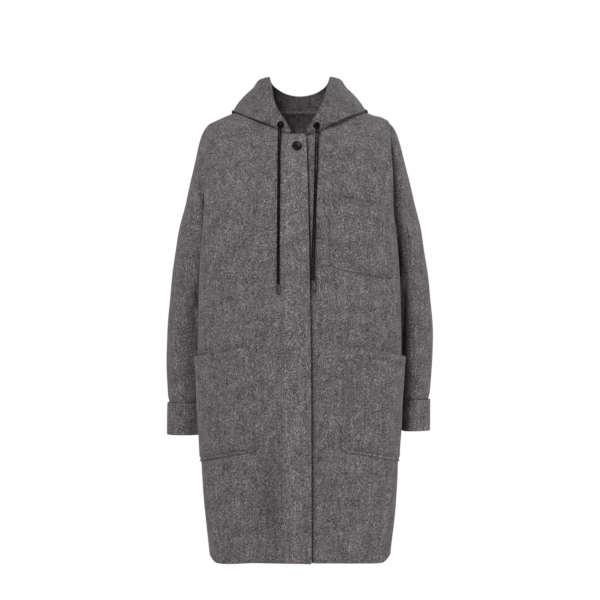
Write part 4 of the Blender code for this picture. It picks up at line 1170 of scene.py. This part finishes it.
def tuck(along, side):
    """Dip of the sleeve just beside the front of the armhole seam, where it goes in under the
    body's edge: depth * bell around * a quick soft step at the seam * half a bell along the arm."""
    beside = bell(along, TUCK_SHARE) * smooth(along / TUCK_BESIDE)
    return TUCK[side] * bell(AROUND - TUCK_AT, TUCK_WIDTH) * beside


print("sleeve creases:", {side: len(rows) for side, rows in SLEEVE_CREASES.items()})

# %% [markdown]
# The head of the sleeve leaves the armhole in the direction of the body's own cloth and bends over
# into the first section of the arm. That gives the soft dropped shoulder, without the hard ring that
# two joined tubes would show. Just above the cuff the sleeve dips in, so that the band's seam reads.

# %% Sleeves and cuffs
HEAD_RINGS = 24
SLEEVE_RINGS = 81
CUFF_RINGS = 15
HEAD_START = 0.050
HEAD_END = 0.90
SEAM_DIP = 0.0022
SEAM_DIP_SHARE = 0.025
CUFF_OUT = 0.0010
SLEEVE_ROUND = 0.36
SLEEVE_LENGTH = 0.56
SLEEVE_FADE = 0.12


def armhole_ring(side):
    """Points round an armhole, directions out of the body, and directions off the panels."""
    front = np.concatenate([line[:-1] for line in armhole(side, 0)])
    upper, lower = armhole(side, 4)
    rear = np.concatenate([upper[:-1], lower])[:0:-1]
    across = np.concatenate([front[:, 0], on_middle(4, rear[:, 0])])
    up = np.concatenate([front[:, 1], rear[:, 1]])
    points = body(side, across, up)
    out = body_normal(side, across, up)
    along = unit(np.roll(points, -1, axis=0) - np.roll(points, 1, axis=0))
    return points, out, side * unit(np.cross(out, along))


def sleeve_rings(side):
    """Rings from armhole to cuff seam. The head is a Hermite blend from the armhole, in the
    direction off the panels, into the first section, in the direction of the arm."""
    start, out, off = armhole_ring(side)
    mirror = np.array([side, 1.0, 1.0])
    arm = section_rings(SLEEVE, SLEEVE_RINGS) * mirror
    first, second = (section_rings(SLEEVE[:2], 2) * mirror)[:2]
    t = np.linspace(0.0, 1.0, HEAD_RINGS, endpoint=False)[:, None, None]
    head = start * (1 + 2 * t) * (1 - t) ** 2 + first * t * t * (3 - 2 * t)
    head = head + off * HEAD_START * t * (1 - t) ** 2 - (second - first) * HEAD_END * t * t * (1 - t)
    rings = hang(np.concatenate([head, arm]), side)
    facing = ring_out(rings, side)
    facing[0] = out
    along = np.linspace(0.0, 1.0, len(rings))[:, None]
    height = crease_height(SLEEVE_CREASES[side], AROUND, along, SLEEVE_ROUND, SLEEVE_LENGTH, 1.0)
    fade = between(along, 0.0, 1.0, SLEEVE_FADE)
    height = (height + waviness(rings)) * fade + hollow(rings, side) + tuck(along, side)
    height = height - SEAM_DIP * smooth(1 - (1 - along) / SEAM_DIP_SHARE)
    rings = rings + facing * height[:, :, None]
    facing = ring_out(rings, side)
    facing[0] = out
    return rings, facing


cuff_sheets = {}
for name, side in SIDES.items():
    rings, facing = sleeve_rings(side)
    shell(f"sleeve_{name}_cloth", rings, facing, f"sleeve_{name}", ring=True)
    rings = hang(section_rings(CUFF, CUFF_RINGS) * np.array([side, 1.0, 1.0]), side)
    rings = rings + ring_out(rings, side) * (hollow(rings, side) + CUFF_OUT)[:, :, None]
    cuff_sheets[name] = (rings, ring_out(rings, side))
    shell(f"cuff_{name}_cloth", *cuff_sheets[name], f"cuff_{name}", ring=True)

# %% [markdown]
# The hood lies down on the shoulders as a thick roll, open in the middle. Each section starts at
# the neck seam, goes out to a fold on the shoulder, turns up and comes back in to the edge of the
# opening. Four points make a cubic curve for it, and a table gives fold and edge round the neck.
# Cloth cannot sink into the shoulders, so points too near the body are moved out along its
# direction.

# %% Hood sections
HoodRow = namedtuple("HoodRow", "seam fold_x fold_y fold_z edge_x edge_y edge_z")
HOOD = (
    HoodRow(0.06, 0.0165, -0.1085, -0.0450, 0.0165, -0.1095, -0.0410),
    HoodRow(0.13, 0.0340, -0.1090, -0.0340, 0.0260, -0.1100, -0.0220),
    HoodRow(0.22, 0.0540, -0.1050, -0.0280, 0.0340, -0.1040, -0.0080),
    HoodRow(0.33, 0.0800, -0.0940, -0.0180, 0.0435, -0.0900, 0.0120),
    HoodRow(0.44, 0.1080, -0.0700, -0.0040, 0.0520, -0.0680, 0.0360),
    HoodRow(0.54, 0.1320, -0.0300, 0.0060, 0.0585, -0.0350, 0.0620),
    HoodRow(0.62, 0.1425, 0.0150, 0.0090, 0.0625, 0.0080, 0.0790),
    HoodRow(0.72, 0.1380, 0.0680, -0.0040, 0.0620, 0.0520, 0.0770),
    HoodRow(0.82, 0.1160, 0.1220, -0.0500, 0.0510, 0.0920, 0.0660),
    HoodRow(0.91, 0.0690, 0.1530, -0.1300, 0.0290, 0.1170, 0.0560),
    HoodRow(1.00, 0.0000, 0.1640, -0.1620, 0.0000, 0.1260, 0.0520),
)
HOOD_SHIFT = -0.0020
HOOD_SECTIONS = 96
HOOD_STEPS = 84
HOOD_SHIFT_SHARE = 0.5
SEAM_SHIFT_SHARE = 0.3
NECK_LENGTH = 0.25
HOOD_CROWN = 0.30
HOOD_TUCK = 0.60
HOOD_CROWN_FROM = 0.25
HOOD_CROWN_SHARE = 0.30
HOOD_AIR = 0.003
HOOD_AIR_MORE = {-1: 0.0, 1: 0.007}
HOOD_AIR_FROM = 0.34
HOOD_AIR_FADE = 0.20
HOOD_AIR_SHARE = 3 / 14
HOOD_REACH_UP = 0.72
SAMPLES = 130
CHUNK = 800


def neckline(side):
    """Dense neckline from centre front over the shoulder to centre back: shares, points, out."""
    neck = NECK_ACROSS * np.sin(np.linspace(0.0, math.pi / 2, DENSE))
    across = np.concatenate([neck, 4 - neck[::-1]])
    up = np.concatenate([neck_up(neck, NECK_FRONT_UP), neck_up(neck[::-1], NECK_BACK_UP)])
    points, out = outer_cloth(side, across, up)
    length = lengths(points)
    return length / length[-1], points, out


def body_samples(side):
    """Points and outward directions spread over one side of the body near the neck."""
    near = np.linspace(0.0, 1.0, SAMPLES)
    levels = np.linspace(HOOD_REACH_UP, UP_TOP, SAMPLES)
    across, up = np.meshgrid(np.concatenate([near, near + 3.0]), levels)
    points, out = outer_cloth(side, across, up)
    return points.reshape(-1, 3), out.reshape(-1, 3)


def clear_of_body(grid, side, least):
    """Moves points that are too near the body out to the least distance from its nearest sample."""
    points, out = body_samples(side)
    flat = grid.reshape(-1, 3)
    size = (points**2).sum(axis=1)
    chunks = [flat[k : k + CHUNK] for k in range(0, len(flat), CHUNK)]
    near = np.concatenate([np.argmin(size - 2 * chunk @ points.T, axis=1) for chunk in chunks])
    height = ((flat - points[near]) * out[near]).sum(axis=1)
    lift = np.maximum(least - height, 0.0)
    return (flat + out[near] * lift[:, None]).reshape(grid.shape)


def hood_grid(side):
    """Half hood. Each section is seam (1-t)^3 + lower 3t(1-t)^2 + upper 3t^2(1-t) + edge t^3, where
    lower and upper are the pull points that draw it out to the fold and round its top."""
    share, points, out = neckline(side)
    at = np.linspace(HOOD[0].seam, HOOD[-1].seam, HOOD_SECTIONS + 1)
    last = HOOD[-2]
    beyond = last._replace(seam=2.0 - last.seam, fold_x=-last.fold_x, edge_x=-last.edge_x)
    rows = through(HOOD + (beyond,), at)
    mirror = np.array([side, 1.0, 1.0])
    shift = np.zeros((len(at), 3))
    shift[:, 0] = HOOD_SHIFT * (1 - smooth(at / HOOD_SHIFT_SHARE))
    slide = HOOD_SHIFT / NECK_LENGTH * (1 - smooth(at / SEAM_SHIFT_SHARE))
    seam = read_at(np.clip(at + side * slide, 0.0, 1.0), share, points)
    seam = seam + unit(read_at(at, share, out)) * STEP_OUT
    fold = rows[:, 0:3] * mirror + shift
    edge = rows[:, 3:6] * mirror + shift
    pull = (8 * fold - seam - edge) / 6
    crown = edge + HOOD_CROWN * (fold - edge) * np.array([1.0, 1.0, 0.0])
    rounded = smooth((at - HOOD_CROWN_FROM) / HOOD_CROWN_SHARE)[:, None]
    upper = pull + (crown - pull) * rounded
    lower = pull + HOOD_TUCK * (pull - upper)
    t = np.linspace(0.0, 1.0, DENSE)[:, None, None]
    pulled = lower * 3 * t * (1 - t) ** 2 + upper * 3 * t * t * (1 - t)
    dense = seam * (1 - t) ** 3 + pulled + edge * t**3
    marks = np.linspace(0.0, 1.0, HOOD_STEPS + 1)
    columns = [spread_along(column, marks * lengths(column)[-1]) for column in np.moveaxis(dense, 1, 0)]
    grid = np.stack(columns, axis=1)
    air = HOOD_AIR + HOOD_AIR_MORE[side] * (1 - smooth((at - HOOD_AIR_FROM) / HOOD_AIR_FADE))
    least = STEP_OUT + smooth(marks / HOOD_AIR_SHARE)[:, None] * air
    return clear_of_body(grid, side, least.ravel())


def grid_out(grid, side):
    """Directions out of a sheet: the cross product of its two steps, level at centre back."""
    out = side * np.cross(np.gradient(grid, axis=1), np.gradient(grid, axis=0))
    out[:, -1, 0] = 0.0
    return unit(out)


print("hood sections:", len(HOOD), "rows, spread to", HOOD_SECTIONS + 1)

# %% [markdown]
# The edge of the opening is a hem folded twice, so the wall is thicker there, and a soft ridge of
# cloth runs beside it. A modifier would thicken the whole sheet, so the wall's thickness is worked
# out for every point instead. On the right the edge is also drawn out a little.

# %% Hood halves
EDGE_WALL = 0.0042
EDGE_FROM = 0.92
EDGE_SHARE = 0.03
HOOD_FADE = 0.10
HOOD_WAVE = 2.5
RIDGE = 0.006
RIDGE_AT = 0.88
RIDGE_WIDTH = 0.07
RIDGE_FROM = 0.33
RIDGE_TO = 0.86
RIDGE_FADE = 0.15
EDGE_PULL = {-1: 0.0045, 1: 0.0}
PULL_AT = 0.30
PULL_WIDTH = 0.14
PULL_FROM = 0.50
down = np.linspace(0.0, 1.0, HOOD_STEPS + 1)[:, None]
round_neck = np.linspace(0.0, 1.0, HOOD_SECTIONS + 1)[None, :]
fade = smooth((down - HOOD_AIR_SHARE) / HOOD_FADE) * between(round_neck, HOOD_FADE, 1.0, HOOD_FADE)
ridge = RIDGE * bell(down - RIDGE_AT, RIDGE_WIDTH) * between(round_neck, RIDGE_FROM, RIDGE_TO, RIDGE_FADE)
pull = bell(round_neck - PULL_AT, PULL_WIDTH) * smooth((down - PULL_FROM) / (1 - PULL_FROM))
hemmed = smooth((down - EDGE_FROM) / EDGE_SHARE) * smooth(round_neck / HOOD_FADE)
hood_wall = CLOTH + (EDGE_WALL - CLOTH) * hemmed
hood_sheets = {}
for name, side in SIDES.items():
    sheet = hood_grid(side)
    sheet = sheet + grid_out(sheet, side) * (HOOD_WAVE * waviness(sheet) * fade + ridge)[:, :, None]
    sheet[:, :, 0] += side * EDGE_PULL[side] * pull
    hood_sheets[name] = (sheet, grid_out(sheet, side))
    node = f"hood_{name}"
    # The hood's cloth is in the darkened wool, a painted shade.
    shell(f"{node}_cloth", *hood_sheets[name], node, wall=hood_wall, material=HOOD_SHADED_WOOL)

# %% [markdown]
# Patch pockets lie on the fronts. A short table gives their lower and upper edge at places across
# the front, and how far the top stands off, as on a coat that has been used. The sewn edges are turned
# under, so the wall is a little thicker there, and the top edge, folded twice, is thickest. Where a
# hip pocket wraps round the side it is drawn tight: it doesn't puff, and its top edge is thin. Its
# front edge is pressed flat and hardly shows. Points crowd towards the edges, where the shape changes
# quickly: place = t - 0.85 sin(2 pi t) / (2 pi).

# %% Pockets
PocketRow = namedtuple("PocketRow", "across low high stand")
HIP_POCKET = (
    PocketRow(0.300, -0.6880, -0.4790, 0.0000),
    PocketRow(0.340, -0.6970, -0.4815, 0.0000),
    PocketRow(0.410, -0.7010, -0.4850, 0.0005),
    PocketRow(0.560, -0.7075, -0.4920, 0.0010),
    PocketRow(0.720, -0.7135, -0.4980, 0.0020),
    PocketRow(1.000, -0.7210, -0.5050, 0.0040),
    PocketRow(1.450, -0.7240, -0.5090, 0.0020),
)
CHEST_POCKET = (
    PocketRow(0.195, -0.3160, -0.1720, 0.0000),
    PocketRow(0.235, -0.3220, -0.1745, 0.0000),
    PocketRow(0.450, -0.3345, -0.1870, 0.0005),
    PocketRow(0.640, -0.3430, -0.1960, 0.0005),
    PocketRow(0.700, -0.3420, -0.1990, 0.0000),
)
POCKET_SLANT = -0.030
POCKET_GAP = 0.0003
POCKET_COLUMNS = 80
POCKET_ROWS = 80
CROWDING = 0.85
HEMMED_WALL = 0.0028
HEMMED_GAP = 0.0002
HEMMED_BAND = 0.013
POCKET_UNIT = 0.22
PUFF = 0.0030
TOP_WALL = 0.0074
TIGHT_WALL = 0.0036
TOP_FROM = 0.90
TOP_SHARE = 0.05
STITCH_INSET = 0.0055
STITCH_DIP = 0.0020
DIP_WIDTH = 0.0022
CHEST_RELIEF = 0.45
TIGHT_FROM = 0.60
TIGHT_SHARE = 0.35
FRONT_SOFT = 0.33
FRONT_WALL = 0.0012
FLAT_FROM = 0.06
FLAT_SHARE = 0.14
Patch = namedtuple("Patch", "name side table slant relief rows")
PATCHES = (
    Patch("pocket_left", 1, HIP_POCKET, POCKET_SLANT, 1.0, 2),
    Patch("pocket_right", -1, HIP_POCKET, POCKET_SLANT, 1.0, 2),
    Patch("chest_pocket", 1, CHEST_POCKET, 0.0, CHEST_RELIEF, 1),
)


def crowded(count):
    """Shares from 0 to 1 that lie closer together at both ends."""
    t = np.linspace(0.0, 1.0, count + 1)
    return t - CROWDING * np.sin(2 * math.pi * t) / (2 * math.pi)


def pocket_place(patch, u, share):
    """Middle points, outward directions and wall of a pocket at shares across and up it. The lift
    off the front is half of both walls and a gap, and the stitching presses a trough. The patch's
    relief is the share of its puff, trough and thick edges that shows."""
    u, share = np.broadcast_arrays(np.asarray(u, float), np.asarray(share, float))
    first, last = patch.table[0].across, patch.table[-1].across
    places = first + (last - first) * u
    low, high, stand = np.moveaxis(through(patch.table, places), -1, 0)
    shoulder = SHOULDER_TOP - SHOULDER_FALL * (LEVELS[-1].fold_x * np.sin(places * math.pi / 2)) ** 2
    up = up_at(low + (high - low) * share, shoulder)
    across = places + patch.slant * (1 - share) * (1 - u)
    width = (last - first) * POCKET_UNIT
    rise = share * (high - low)
    from_edge = np.minimum(np.minimum(u, 1 - u) * width, rise)
    from_sewn = np.minimum(np.minimum(FRONT_SOFT * u, 1 - u) * width, rise)
    inside = smooth(from_sewn / HEMMED_BAND)
    flat = (1 - smooth(u * width / HEMMED_BAND)) * smooth((share - FLAT_FROM) / FLAT_SHARE)
    tight = smooth((places - TIGHT_FROM) / TIGHT_SHARE)
    top = TOP_WALL + (TIGHT_WALL - TOP_WALL) * tight
    thicker = (HEMMED_WALL - CLOTH) * (1 - inside)
    thicker = thicker + (top - CLOTH) * inside * smooth((share - TOP_FROM) / TOP_SHARE)
    wall = CLOTH + patch.relief * thicker
    wall = wall + (FRONT_WALL - wall) * flat
    puff = patch.relief * PUFF * (1 - tight)
    lift = (CLOTH + wall) / 2 + HEMMED_GAP + (LAY + POCKET_GAP + puff - HEMMED_GAP) * inside
    trough = patch.relief * STITCH_DIP * bell(from_edge - STITCH_INSET, DIP_WIDTH) * (1 - flat)
    points, out = outer_cloth(patch.side, across, up, lift + stand * share**2 - trough)
    return points, out, wall


def pocket(patch):
    """Patch pocket as a shell on a grid that is dense at the edges."""
    points, out, wall = pocket_place(patch, crowded(POCKET_COLUMNS), crowded(POCKET_ROWS)[:, None])
    return shell(f"{patch.name}_cloth", points, out, patch.name, wall=wall)


pockets = {patch.name: pocket(patch) for patch in PATCHES}

# %% [markdown]
# Sewing thread shows as a row of short bars, each a tiny capsule that dips into the cloth at both
# ends. Rows run beside the placket's seam and a short way across it near the hem, round the pockets,
# twice along the hip pockets' lower edges, and below the cuff seams. A line painted on would vanish
# close up, so one capsule is worked out and repeated along each row.

# %% Stitching
STITCH_PITCH = 0.0036
Bead = namedtuple("Bead", "along radius sink")
STITCH = (
    Bead(-0.00130, 0.00012, 0.00030),
    Bead(-0.00095, 0.00030, 0.00008),
    Bead(0.00000, 0.00034, 0.00000),
    Bead(0.00095, 0.00030, 0.00008),
    Bead(0.00130, 0.00012, 0.00030),
)
STITCH_SIDES = 6
LINE_POINTS = 400
RUN = np.linspace(0.0, 1.0, LINE_POINTS)
PLACKET_SEAM_SHARE = 0.075
TACK_LEVEL = 0.104
TACK_FROM = 0.12
TACK_TO = 0.62
SECOND_ROW = 0.0060


def stitch_row(points, out):
    """Capsules along a line of points on the cloth, as one array of points and one of faces. A ring
    is place + along * offset - up * sink + radius * (cos a * up + sin a * two)."""
    length = lengths(points)
    marks = (np.arange(int(length[-1] / STITCH_PITCH)) + 0.5) * STITCH_PITCH
    half = STITCH_PITCH / 2
    along = unit(spread_along(points, marks + half) - spread_along(points, marks - half))[:, None, None]
    up = unit(read_at(marks, length, out))[:, None, None]
    two = np.cross(along, up)
    place = spread_along(points, marks)[:, None, None]
    table = np.array(STITCH)[None, :, None, :, None]
    angle = circle(STITCH_SIDES)[None, None, :, None]
    middle = place + along * table[..., 0, :] - up * table[..., 2, :]
    beads = middle + table[..., 1, :] * (np.cos(angle) * up + np.sin(angle) * two)
    one, faces = capped(beads[0], middle[0, 0, 0], middle[0, -1, 0])
    ends = np.stack([middle[:, 0, 0], middle[:, -1, 0]], axis=1)
    every = np.concatenate([beads.reshape(len(marks), -1, 3), ends], axis=1)
    starts = len(one) * np.arange(len(marks))[:, None, None]
    return every.reshape(-1, 3), (faces[None] + starts).reshape(-1, 4)


def pocket_rows(patch):
    """Stitch rows along a pocket's lower edge, the first of which also goes up both its sides."""
    lines = []
    width = (patch.table[-1].across - patch.table[0].across) * POCKET_UNIT
    height = patch.table[0].high - patch.table[0].low
    for row in range(patch.rows):
        inset = STITCH_INSET + SECOND_ROW * row
        u, v = inset / width, inset / height
        paths = [(u + (1 - 2 * u) * RUN, v + 0 * RUN)]
        if row == 0:
            paths += [(u + 0 * RUN, v + (1 - v) * RUN), (1 - u + 0 * RUN, v + (1 - v) * RUN)]
        for across, up in paths:
            points, out, wall = pocket_place(patch, across, up)
            lines.append((points + out * wall[:, None] / 2, out))
    return lines


rows = []
for share, level in ((PLACKET_SEAM_SHARE, RUN), (TACK_FROM + (TACK_TO - TACK_FROM) * RUN, TACK_LEVEL)):
    points, out = placket_place(share, level)
    rows.append((points + out * CLOTH / 2, out))
for patch in PATCHES:
    rows += pocket_rows(patch)
closed = np.append(np.arange(RING_POINTS), 0)
for rings, out in cuff_sheets.values():
    rows.append((rings[1, closed] + out[1, closed] * CLOTH / 2, out[1, closed]))
made = [stitch_row(*row) for row in rows]
starts = np.cumsum([0] + [len(points) for points, faces in made[:-1]])
stitching = put_piece(
    "stitching",
    np.concatenate([points for points, faces in made]),
    np.concatenate([faces + start for (points, faces), start in zip(made, starts)]),
    THREAD,
    slot="wool",
)
print("stitch rows", len(rows), "faces", len(stitching.data.polygons))

# %% [markdown]
# The trims are turned on a lathe: a profile of radius and height, carried round an axis. The tips
# are little barrels with two grooves, and an eyelet is a pressed ring with a round lip that goes
# into the cloth. Rows of a profile lie where it bends, and straight lines join them.

# %% Trim profiles
Turn = namedtuple("Turn", "radius height")
BUTTON_PROFILE = (
    Turn(0.0010, 0.0000),
    Turn(0.0085, 0.0000),
    Turn(0.0096, 0.0004),
    Turn(0.0100, 0.0013),
    Turn(0.0100, 0.0028),
    Turn(0.0096, 0.0037),
    Turn(0.0088, 0.0040),
    Turn(0.0079, 0.0039),
    Turn(0.0070, 0.0031),
    Turn(0.0063, 0.0025),
    Turn(0.0040, 0.0023),
    Turn(0.0002, 0.0022),
)
EYELET_PROFILE = (
    Turn(0.0012, -0.0021),
    Turn(0.0073, -0.0021),
    Turn(0.0077, -0.0015),
    Turn(0.0074, -0.0003),
    Turn(0.0067, 0.0009),
    Turn(0.0058, 0.0015),
    Turn(0.0049, 0.0011),
    Turn(0.0043, 0.0001),
    Turn(0.0041, -0.0010),
    Turn(0.0040, -0.0018),
    Turn(0.0002, -0.0019),
)
TIP_PROFILE = (
    Turn(0.0030, 0.0000),
    Turn(0.0037, 0.0003),
    Turn(0.0040, 0.0010),
    Turn(0.0040, 0.0032),
    Turn(0.0036, 0.0037),
    Turn(0.0036, 0.0042),
    Turn(0.0040, 0.0047),
    Turn(0.0040, 0.0138),
    Turn(0.0036, 0.0143),
    Turn(0.0036, 0.0148),
    Turn(0.0040, 0.0153),
    Turn(0.0040, 0.0175),
    Turn(0.0037, 0.0182),
    Turn(0.0030, 0.0185),
)
print("profile rows:", len(BUTTON_PROFILE), len(EYELET_PROFILE), len(TIP_PROFILE))

# %% [markdown]
# The button is sewn flat on the placket, so it faces the way the cloth does there. Four holes dip
# into its face: cutting them out would need a boolean, and a soft dip looks the same at this size.
# An eyelet faces the way of the hood's nearest point, and a tip hangs upright under its cord.

# %% Button, eyelets and tips
BUTTON_X = -0.0055
BUTTON_Z = -0.076
BUTTON_ROWS = 150
BUTTON_SIDES = 96
HOLE_SPREAD = 0.0019
HOLE_RADIUS = 0.0010
HOLE_SOFT = 0.0003
HOLE_DIP = 0.0014
EYELET_ROWS = 70
EYELET_SIDES = 64
TIP_ROWS = 70
TIP_SIDES = 40
TIP_GAP = 0.0003
TIP_LENGTH = TIP_PROFILE[-1].height


def lathe(profile, rows, sides):
    """Grids of x, y and height: a profile spread evenly along its length and carried round."""
    line = np.array(profile)
    spread = spread_along(line, np.linspace(0.0, lengths(line)[-1], rows))
    radius, height = spread.T[:, :, None]
    angle = circle(sides)[None, :]
    return np.stack([radius * np.cos(angle), radius * np.sin(angle), height + 0 * angle])


def stood(grids, profile, place, axis):
    """Closed skin of a turned piece: place + x * one + y * two + height * axis, where one and two
    are square to the axis."""
    one, two = axes_square_to(axis)
    x, y, height = grids[..., None]
    rings = place + x * one + y * two + height * axis
    return capped(rings, place + axis * profile[0].height, place + axis * profile[-1].height)


def button_dip(x, y):
    """Depth of four round holes with soft edges, at places on the button's face."""
    away = np.hypot(np.abs(x) - HOLE_SPREAD, np.abs(y) - HOLE_SPREAD)
    return HOLE_DIP * (1 - smooth((away - HOLE_RADIUS + HOLE_SOFT) / (2 * HOLE_SOFT)))


button_up = up_at(BUTTON_Z)
button_across = across_at(-BUTTON_X, button_up)
button_out = body_normal(-1, button_across, button_up)
button_place = body(-1, button_across, button_up, STEP_OUT + CLOTH / 2 + LAY)
grids = lathe(BUTTON_PROFILE, BUTTON_ROWS, BUTTON_SIDES)
face = np.arange(BUTTON_ROWS)[:, None] > BUTTON_ROWS // 2
grids[2] -= button_dip(grids[0], grids[1]) * face
skin = stood(grids, BUTTON_PROFILE, button_place, button_out)
put_piece("button_horn", *skin, HORN, "button", "horn")
for name in SIDES:
    middle = np.array(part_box(f"eyelet_{name}"), dtype=float).mean(axis=0)
    sheet, out = (array.reshape(-1, 3) for array in hood_sheets[name])
    facing = out[np.argmin(((sheet - middle) ** 2).sum(axis=1))]
    skin = stood(lathe(EYELET_PROFILE, EYELET_ROWS, EYELET_SIDES), EYELET_PROFILE, middle, facing)
    put_piece(f"eyelet_{name}_metal", *skin, BLACK_METAL, f"eyelet_{name}", "gunmetal")
    end = CORDS[name][-1]
    foot = np.array([end.x, end.y, end.z - TIP_GAP - TIP_LENGTH])
    skin = stood(lathe(TIP_PROFILE, TIP_ROWS, TIP_SIDES), TIP_PROFILE, foot, UPRIGHT)
    put_piece(f"tip_{name}_metal", *skin, GUNMETAL, f"tip_{name}", "gunmetal")

# %% [markdown]
# The cords come after the tips. Each strand is a tube along its own path, in black leather, and stands for
# its own solid.

# %% Cords
for name, side in SIDES.items():
    for strand, sign in (("inner", -side), ("outer", side)):
        path = strand_path(CORDS[name], sign)
        cord = put_piece(
            f"cord_{name}_{strand}_leather",
            *tube(path, CORD_RADIUS, CORD_SIDES),
            LEATHER,
            f"cord_{name}_{strand}",
            "leather",
        )
        print(cord.name, "through", len(path), "points")

# %% [markdown]
# A cut holds a cloth piece, the width and length of the rectangle it was cut from, the area of the cut,
# how it is held and what it rests on.

# %% Cut sizes
Cut = namedtuple("Cut", "piece width length area held rests_on")
